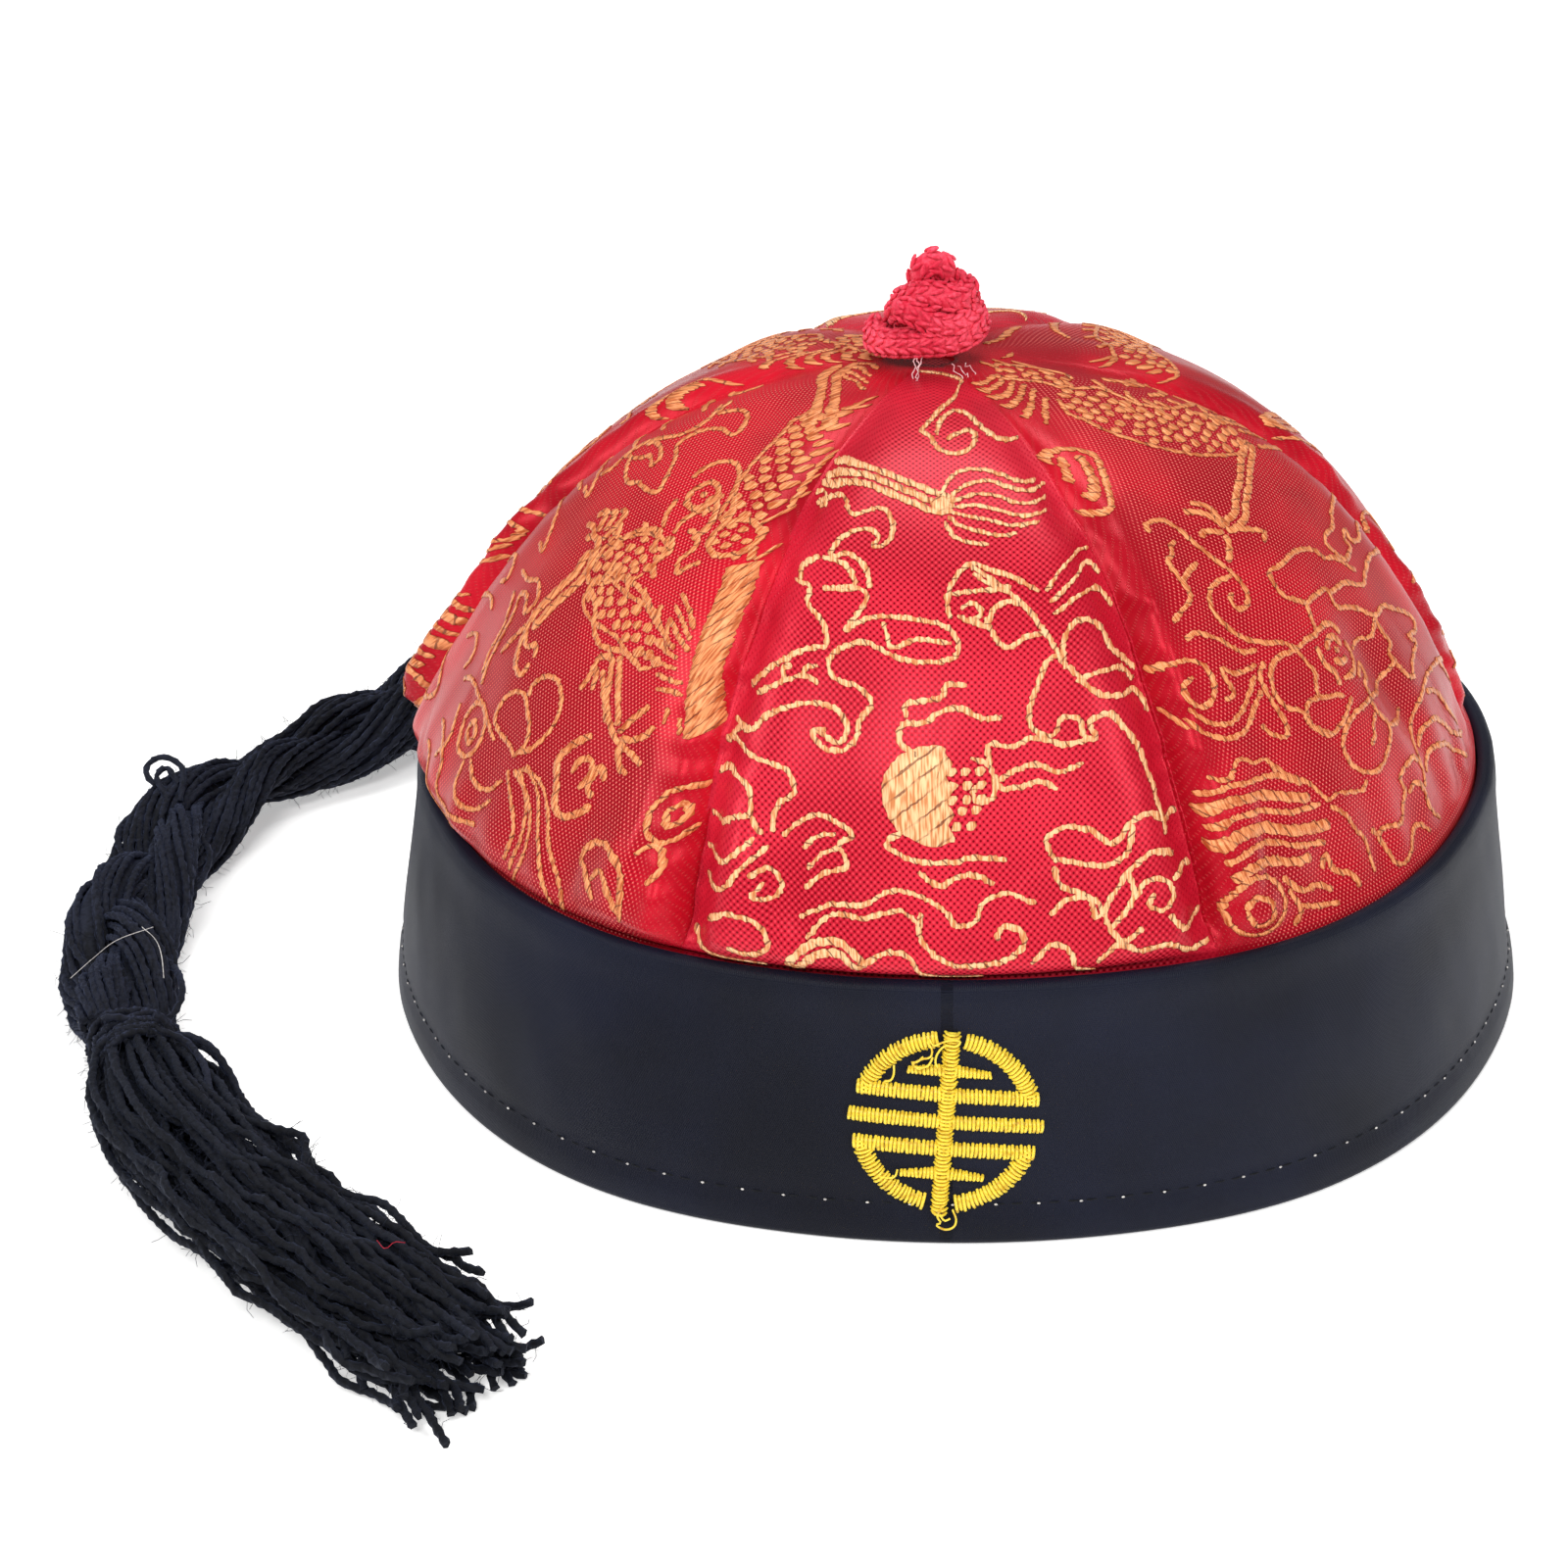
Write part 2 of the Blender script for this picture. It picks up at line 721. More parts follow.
    def fine_relief(self, azimuth: Points, arc: Points, z: Points) -> Points:
        """How the sewn cloth stands off its smooth form.

        Args:
            azimuth: degrees from the front.
            arc: millimetres round for each degree.
            z: height.

        Returns:
            The seam's sharp line, the welt beside it, puckers, creases above the band and slack.
        """
        around = np.radians(azimuth) * 80
        low = np.clip(z - self.band_height, 0, 100)
        total = 0.3 * Crumple(7, 26, 60).at(around, z * 1.2)
        for seam, welt in zip(self.seams, self.welts):
            away = turned(seam, azimuth) * arc
            side = away if 0 < seam < 180 else -away
            swelling = 1 + 0.35 * Crumple(int(seam) % 83 + 3, 12, 26).at(z, away * 0.1)
            pucker = Crumple(int(seam) % 89 + 5, 3.5, 8).at(z * 1.15, away * 0.35)
            total = total + self.lap.over(side) + self.stitch_line.over(side) + self.shoulder.over(side)
            total = total + welt * swelling * self.welt.over(side) + pucker * self.pucker.over(np.abs(away))
            total = total + self.foot_puff.over(side) * bell(low - 9, 9)
        small = Crumple(6, 4.5, 9).at(around, z * 0.25)
        field = Crumple(9, 16, 34).at(around, z * 0.4)
        crease = 0.5 + 0.5 * Crumple(10, 30, 50).at(around, z)
        return total + 0.3 * small * np.exp(-low / 5) - 0.95 * bell(field, 0.13) * crease * np.exp(-low / 15)

    def crown_point(self, azimuth: Points, z: Points) -> Points:
        """Gives points of the crown's outer face.

        Args:
            azimuth: degrees from the front.
            z: height, from the hidden foot to the eye.

        Returns:
            x, y and z along a last axis.
        """
        start = self.band_height + self.gap
        above = np.maximum(z, start)
        tuck = np.clip((above - start) / self.tuck_rise, 0, 1)
        plain = self.crown_radius(azimuth, above)
        full = plain + self.relief(azimuth, plain, above) * np.minimum(1, 2 * tuck)
        foot = self.band_outer(azimuth, np.minimum(z, self.band_height)) - self.band_wall - self.gap
        radius = foot + (full - foot) * np.sqrt(tuck * (2 - tuck))
        rise = np.clip((z - self.band_height) / (self.crown_height - self.band_height), 0, 1)
        place = round_axis(radius, azimuth, z)
        place[..., 0] += self.crown_lean * rise
        return place


@dataclass(frozen=True)
class Gore:
    """One of the crown's six panels, with the chart that its cloth and figures are laid out on.

    A chart place is (across, up): millimetres round from the gore's middle line, and millimetres up
    that line from the band's upper edge.
    """

    name: str
    start: float
    end: float
    form: CapForm = CapForm()

    @property
    def middle(self) -> float:
        """The azimuth of the gore's middle line."""
        return (self.start + self.end) / 2

    @lru_cache(maxsize=None)
    def meridian(self) -> tuple[Points, Points]:
        """Returns the lengths up the middle line and the heights there, foot to eye."""
        form = self.form
        start = form.band_height + form.gap
        azimuth = np.array(self.middle)
        radius, side, top = form.profile(azimuth)
        share = (start - form.crown_base) / (form.crown_height - form.crown_base)
        low = math.acos(share ** (float(top) / 2))
        high = math.asin((form.eye_radius / float(radius)) ** (float(side) / 2))
        angle = np.linspace(low, high, 400)
        z = form.crown_base + (form.crown_height - form.crown_base) * np.cos(angle) ** (2 / top)
        line = form.crown_point(np.full_like(z, self.middle), z)
        foot = np.linspace(form.crown_foot, start, 8)[:-1]
        return np.concatenate([foot - start, length_along(line)]), np.concatenate([foot, z])

    def place(self, across: Points, up: Points) -> tuple[Points, Points, Points]:
        """Turns chart places to azimuth, height and the middle line's plain radius there."""
        lengths, heights = self.meridian()
        z = np.interp(up, lengths, heights)
        above = np.maximum(z, self.form.band_height + self.form.gap)
        middle_radius = self.form.crown_radius(np.array(self.middle), above)
        azimuth = self.middle + np.degrees(across / np.maximum(middle_radius, 1))
        return azimuth, z, middle_radius

    def point(self, across: Points, up: Points) -> Points:
        """Gives the points of the cloth's face at chart places."""
        azimuth, z, _ = self.place(across, up)
        return self.form.crown_point(azimuth, z)

    def normal(self, across: Points, up: Points) -> Points:
        """Gives the directions out of the cloth at chart places."""
        step = 0.4
        right = self.point(across + step, up) - self.point(across - step, up)
        above = self.point(across, up + step) - self.point(across, up - step)
        return unit(np.cross(right, above))

    def half_width(self, up: Points) -> Points:
        """Returns how far the seams lie from the middle line at lengths up it."""
        _, _, radius = self.place(np.zeros_like(up), up)
        return radius * math.radians((self.end - self.start) / 2)


class Motif(Enum):
    """How a row of the brocade's chart is woven."""

    LINE = "one line"
    RIBBON = "several lines side by side"
    BAND = "one broad float parted by slanting hairlines"
    SERPENT = "a body with scales, belly bars and two edges"
    DISC = "a round filled with slanting bars"
    SCALES = "a round filled with small scales"


# The brocade's charts. A heading gives a motif and its width in millimetres. Each line below it is one
# row, in places across and up by turns, and the rows are woven in this order.
FRONT_CHART = """
LINE 1.2
-4 112.5 0 113.5 3 111 5.5 106 3.5 103 1.2 100 -0.5 96 -2 93.2
-2 93.2 -0.5 91.5 0.5 89 2.5 87.6 5 88.5 6.2 91 5.5 93.2 3.5 92.5 2 91
LINE 1.1
0.5 92 1 96 3 98.8 5 97.5 7 94 9.5 90.5 12 88.8 16 88.3
RIBBON 5.2
-20 77.5 -14 81.5 -10 82 -5 79.5 0 76.8 3 76
LINE 1.0
1 78 2 81 4 83.5 7 84 10 82.5 13 80.5 16 79.5
2 77.5 5 80.5 8 81.5 11 79.8 14 78.5 18 78
3 77 6 78.5 9 78.3 13 76.3 17.5 76
3 75.8 6 76.2 9 75.5 13 74 17 74
2.5 74.8 6 73.8 9 73 12 72.2 15.5 72.6
2 74 4 72 7 71 10 70.2 12 70.8
1.5 73 3 70 5.5 69 8 68.6
DISC 1.6
1 76.3
LINE 1.2
-20 73 -17 75.5 -14 77 -12.5 74 -8 75.5 -6.3 72 -7.5 68.5 -9.5 67.8
-9.5 67.8 -8.5 70 -10.5 71.3 -14 69.5 -16 66
LINE 1.1
-22 71.5 -21 74 -19 75.8 -17.5 74.5 -19 73
LINE 1.2
-16 65.5 -13 66.5 -10.5 64 -10 60.5
-17 65.5 -13.5 64.5 -12.3 60.5 -17 60
-21 60.5 -20.5 63 -17.5 65.5
-22 60 -19 60 -19.5 57.5 -17 54 -16.5 50.5
-17 60 -12.3 60.5 -10.5 59.5 -11.5 56.5 -14 53
-14 53 -10 55.5 -4 55.8 1.5 54.5 3 52 2.5 50 -2 49 -6 49.5 -11 51.5 -15 50
LINE 1.1
-8 55 -7.5 53 -7 51 -3 52.5 2 52
LINE 1.2
-16.5 50.5 -20 49.5 -24 47 -27 44.5 -30 41.5
-14.5 50.5 -16.5 48 -15.5 45.5 -12 44.5 -10 42.5 -12 39.5 -12.5 37 -14.5 35
-14.5 35 -17.5 35.2 -19 37.5 -17 38
LINE 1.1
-28 41.5 -24 44 -20 45.5 -18 44.5
-23 44.5 -23.5 46 -22 47
-20.5 45.5 -19.5 47 -18 47.2
LINE 1.2
-33 36 -28.5 36.5 -26 39 -20 41.5 -15.5 41 -13.8 38.5 -15 36.2 -18.5 37.8
-35 33 -31 34 -29 33 -23 31.5 -22 28.5 -24.5 26.5 -25.5 22.5
-37 27 -33 29.5 -29 28.5 -28.5 24.5 -27 22
-38 31 -34 33 -31 36 -28.5 36.5
-39 22 -34 22 -31 24 -28.5 24.5
LINE 1.1
-24 22 -21 24.5 -18.5 25.5 -15.5 24.5 -13.5 23 -15.5 21.5 -14.5 18.5 -18 17 -21 14.5
LINE 1.0
-21 20.5 -18.5 22.5 -16 23
-20.5 17.5 -18 20 -15.5 21
LINE 1.1
-38 17 -33 17.5 -28 21.5
-38 13 -33 13.5 -30 17 -26 20.5
-27 15 -28.5 13 -26 12.5 -24.5 14.5 -26 17 -29 16
-22 10 -17 12.5 -12 13 -8 15 -3 14 0 12 1 10
-21 7 -17 11 -12 11 -7 12 -4 10
LINE 1.2
-4 12 -4 8 -1 5 4 4 8 4.5 11 7 10.5 9 8 9.5 7 7.5
-14 3 -9 6 -6 5 -4 2 0 0.8 5 1.2
-36 8 -32 10 -28 8.5 -27 5 -30 3.5 -33 4.5
RIBBON 3.4
-24 2 -20 5.5 -16 6 -13 3.5
LINE 1.2
-40 5 -37 2.5 -33 1.5 -28 1.2
LINE 1.1
1 10 4 10.5 5 13 9 14.5 13 13
DISC 7.4
-1.6 29.2
SCALES 3.1
3.6 30.6
SCALES 2.3
3.8 25.8
LINE 1.1
4.2 34.6 6.6 33.6 7.6 31 7.2 28.6 5.2 28 4.4 29.6 5.6 30.6
LINE 1.2
-3.5 35 -6 37 -5.5 39.5 -2 40 0 41.5 3 42 6 40.5 9 40.5
-5 40.5 -5 42.5 -3 43 0.5 44 1 45.5 4 45.5
7 33 7 36.5 10 36 14 37 18 35.5 22 36
8 31 11 32.5 14 33 17 31.5 21 32.5
7.5 32 8.5 30 12 30 14 30.5 17 29
-6 24 -8.5 22 -7 20.5 -4 19.5 1 19.5 4 20 9 19.5
-4 18 -1 16 1 17 4 17.5 7 16
2 56 1.5 59 3 63 5.5 65.3 8 64 11 62.8 15 60
LINE 1.1
3 56.5 5 55.5 6.5 57 5 58.5 3.5 57.5
LINE 1.2
5 65 9 61.5 13 57.5 16 52.5 18.5 47.5
LINE 1.1
2 60 6 60.5 10 60.5
5.5 63.5 8 61.5 11 60.8
LINE 1.2
7 56 8 53.5 10 51 13 52.5 15.5 53
4.5 56 7 54.5 8 56.8 10.5 58.5 13 57.5
LINE 1.1
16 60 18 63 21 65 25 64.5
16.5 58 20 61 24 62.5 26 60
17 56 21 58.5 25 58 28 54
LINE 1.2
18.5 47 18.5 52 20.5 54.5 24 53 26 49 30 45 33 42
18 49.5 16 48.5 14.5 45 13 41 13.5 38.5 16.5 37 18 39.5 20.5 39 21 36.5
21 36.5 23 36 22 38.5 25 39.5 27 37.5 30 33 31.5 29 33 24 34 20
19 47.5 23 43 27 41.5 31 40.5 34 36
LINE 1.1
20 45 24 46 28 45 31 42
LINE 1.2
16 19 15 22 18 23.5 22 22.5 25 20.5 28 23.5 31 24 34 22 37 22 39 18
16 18 17 15 21 13 22 10 25 13.5 28 17 31 18.5 35 17
15 11 18 13 22 12.5 24 8 26 6 29 7.5
16 19 20 18 24 17.5 27 19 28 23
LINE 1.1
28 12 30 14.5 33 14 34 11.5 32 10 30 11 31 12.5
LINE 1.2
24 8 27 11 28 13 27 16
34 14 38 14.5 41 11 40 7 36 6 33 9
22 3 25 5.5 29 4 33 4.5 37 2.5 41 3
LINE 1.1
12 4 15 6.5 18 5 19 2 22 1
"""
FRONT_RIGHT_CHART = """
SERPENT 5.4
0 108.4 1.3 105.5 3 101.3 3.6 97
SERPENT 11.5
-1 96 -0.2 90 0.2 85 2.5 81 6 77.5 11 74.8 17 71.8
LINE 1.1
-1.5 108 -5 105.5 -8 103
-2 106 -6 103 -9.8 100
-2 104 -6.5 100.6 -11 98
-2 102 -7 98.6 -12 95.5
-2.5 100 -7.5 96.5 -12.5 93
-4 97 -8 94 -11.5 91
LINE 1.3
9 93 12 89 16 86
10 90 14 86.5 20 84
10 86 15 83 21 82
LINE 1.1
12 79 20 72 28 67
14 76 21 69.5 28 64
17 71 23 66 30 61
17 67 22 64 29 59.5
RIBBON 3.6
16 68.4 9.7 66.7 5.5 64.9 1.3 63.2 -2.4 60.9 -7 60.3
LINE 1.6
-6.6 60.5 -7.8 63.8 -10.8 65.5
LINE 1.5
-6.2 61.3 -6.2 64.7 -8.3 66.3
-7.8 60 -11.2 61.3 -12.2 60.5
-7.8 59.3 -10.3 56.3 -11.6 55.5
LINE 1.4
-5.3 59.7 -2 58 -0.3 56.8 -2 55.5
-27 68.8 -24.5 70 -21.2 71.3 -18.7 73.8 -15.3 78 -13.3 81.3 -14 83.8
-14 83.8 -16.2 84.3 -19.5 82.2 -22.8 77.2 -25.3 72.2
LINE 1.8
-22.8 73 -19.5 75.5 -17 78.8 -15.3 82.2
LINE 1.3
-17.8 82.2 -20.3 78.8 -22 76.3
LINE 1.2
-20 65 -19.5 66.3 -17.8 66.5 -16 66 -15 64.3 -14.5 61.3 -14 58 -12.8 54.7
-12.8 54.7 -12.4 52.2 -12.8 50 -14.5 48.4 -16.2 48.4 -16.6 50 -15.3 51
-12.8 53.4 -16.2 53.4 -19 52.6 -20.8 50 -20.5 47.2 -19 44.3 -16.2 42.6 -12 41
-12 41 -10.3 39.3
-17.4 62 -18.7 61.8 -20 60.5 -21.6 59.7 -22.2 57.2 -22.4 54.7 -23.3 53 -26.2 51.8
-26.2 51.8 -28.7 50.5
LINE 1.3
-22.2 56 -20 56.8 -17 57.3
LINE 1.2
-28.7 47.2 -27 48 -25.3 47.2 -23.3 45.5 -22 43.8 -20.3 42.2 -17.8 41.8
-37 34.7 -38.7 38 -37.8 41.3 -35.3 43.8 -32 44.7 -29 43.4 -28.7 40.5 -30.3 38
-30.3 38 -32.8 37.2 -34.5 38.8 -34 41.3 -31.6 41.8
-36.6 36.3 -35.3 33.8 -32 31.8 -27.8 31.8 -24.5 33.8 -21.2 36
-35.3 38 -33.7 35 -30.3 33.8 -26.2 34.7 -23.7 36.3 -20.8 38.4
-28.7 37.2 -26.6 37.2 -26.2 41.3 -23.7 39.7 -19.5 39.7
-24.5 31.3 -23.3 29.3 -21.2 28.2 -20 29.7 -20.3 33.8 -20 38 -17.8 39.7
-10.3 39.3 -15.3 39.3 -17.8 37.6 -19 34.7 -18.3 32.2 -15.8 30.5 -15.8 28.4
-15.8 28.4 -14.5 27.2 -12.4 25.5
9.7 47.2 8 49.7 5.5 50.9 2.2 51.5 -2.8 51.3 -5.8 51.3 -6.6 48.8 -6.2 46.8
-6.2 46.8 -4 45.5 -2.4 44.3
-2.4 44.3 1.3 44.3 4.7 43.8 5.5 43 8 42.6 11.3 42.2 14.7 40.5 17.2 39.3
-2.4 44.3 -3.3 41.8 -4 39.7 -7 39.7 -10.3 39.3
5.5 43.4 5 41.3 6.3 39.7 8 39.3 11.3 37.6 13.8 35.5 15.5 34.7 18.8 34.7
18.8 34.7 20.5 34.3 23 32.6 26.3 30.5 28.8 28 27.2 26.8 24.7 27.2 23 27.6
23.4 27.2 25 25.5 21.3 24.7 18.8 23.8 18 22.6 16.3 23.4 14.7 26.3 13.8 28.8
13.8 28.8 15.5 29.7 14.7 32.2 14.7 34.7
-10.3 39.3 -9.5 36.3 -9 34.7 -10.3 33 -10.8 31.3 -6.6 30 -5.3 29.3
-10.8 31.3 -13.7 31.3 -15.3 29.7 -14.9 27.2 -12.8 25.5 -9.5 25.7 -6.2 27.2
-6.2 27.2 -3.7 28.4
1.3 26 -2 26 -5.3 26 -8.7 24.7 -10.8 23 -11.2 20.9 -9.5 18 -6.2 16.5 -2.8 16.8
-2.8 16.8 1.3 18.8 3 20.5 1.3 23.8 1.3 26
LINE 1.1
-4.5 20.5 -2.8 20.9 -2 22.2 0.5 23.8
LINE 1.2
3 20.5 5.5 19.7 8.8 18.8 11.3 19.7
1.3 26 3.8 25.5 5.5 25 9.7 25.5 13 26.3 14.7 27.2
LINE 1.3
1.3 29.7 4.7 30.5 4.7 28.4 2.2 28 2.2 26.3
LINE 1.2
4.7 33 8 33.4 11.3 32.6 14.7 34.7
LINE 1.4
-5.6 38 -5.9 35.2 -4.6 33 -5 31
-4 39.8 -1.6 40 1.2 39.2 2.6 37
LINE 1.6
-3.6 36.6 -2 37.8 0 37.4 1 35.6
-3.2 34.6 -1.4 33.6 0.6 33.4
-1.6 35.9 -0.6 35.3
LINE 1.4
2.6 35.4 3.4 33.4 2 31.6 -0.6 31 -3 31.4
LINE 1.2
34.7 47.2 28 50.9 24.7 51.5 21.3 50.9 18.8 49.3 14.7 49.5 13 48.8 13.8 46.8
13.8 46.8 14.7 45.5 16.3 44.3 20.5 44.7
10 47.2 13 46 14.7 44.3 17.2 41.8
20.5 44.7 20 46.3 22.2 47.2 21.8 45.5 24.7 44.3 28 45.5 31.3 43.8 38 40.5
17.2 39.3 21.3 40.5 25.5 41 29.7 40 34.7 38 40.5 34.7
LINE 1.0
-38.3 27.2 -35.3 26 -32 28.4 -29.5 26.8 -27 26.3 -26.2 23.8
LINE 1.3
-41 24.4 -36 25 -31 24.2 -26.5 23.4 -22.4 20.6
LINE 2.2
-42 21.6 -37 22.6 -31.6 21.8 -26.6 19.8 -22 18
LINE 1.4
-42 19.4 -37 20.2 -32 19.4 -27 17.4 -20.4 16.4
LINE 2.4
-43 16.6 -38 17.8 -33 16.9 -27.6 14.6 -20 12.8
LINE 1.3
-42 14.4 -37 15.2 -32 14.2 -27.6 12.2 -22 10.6
LINE 1.9
-42 12 -38 12.8 -33.4 11.8 -29.2 10.2 -26 9.8
LINE 1.1
-26.6 25.6 -24.4 22.8 -21 20 -18.7 16.3
-18.7 16.3 -16.2 16.8 -13.7 16 -10.3 15 -8.7 16
-18.7 15.5 -16.2 13 -15.3 10.5 -13.7 8 -14.5 3
LINE 1.2
-44.6 7 -42 10.4 -38.4 11.4 -35 9.4 -34 5.6 -36.4 2.4 -40 1.6 -43.4 3.4 -44.6 7
LINE 1.3
-41.6 7 -39.4 8.4 -37 6.8 -38 4.4 -40.8 4.2 -41.6 7
LINE 1.4
-24.5 7.2 -22.8 8.8 -22 6 -19.5 4.7 -18.7 2.2
-33 9 -30 6 -26.5 5.4 -24 3.6
LINE 1.3
-31.6 4 -28 2.4 -24 1.4
-32.6 7 -31.6 3 -33.6 0.8
LINE 1.2
-11.2 8.8 -10.3 7.6 -7.8 8 -5.3 7.2 -2.8 7.2 -1.2 8.8 0.5 10.5 0 12.6 2.2 13.7
2.2 13.7 5.5 13.8 7.6 12.6 8 10.5 6.3 8.8
1.3 9.7 3.8 10.5 5.5 8.8 5.5 5.5 8 2.2
-10.3 7.2 -9.5 4.7 -9 2.2 -7 1.3 -4.5 2.2 -2 3.8 1.3 4.3 3.4 2.2
8 10.5 10.5 14.7 14.7 18 19.7 19.7 26.3 20 34.7 18 47 11.3
11.3 13 14.7 14.7 18.8 14.7 23 12.2 28 8 35.5 4.7
9.7 9.7 14.7 11.3 20.5 9.7 25.5 6.3 29.7 3
20.5 18.8 25.5 16.3 28.8 11.3 33.8 7.2
31.3 19.7 39 12 47 3.8
LINE 1.4
41 7 42.4 9.6 45.6 9.8 46.6 7 44.8 4.4 42 4.8 41 7
"""
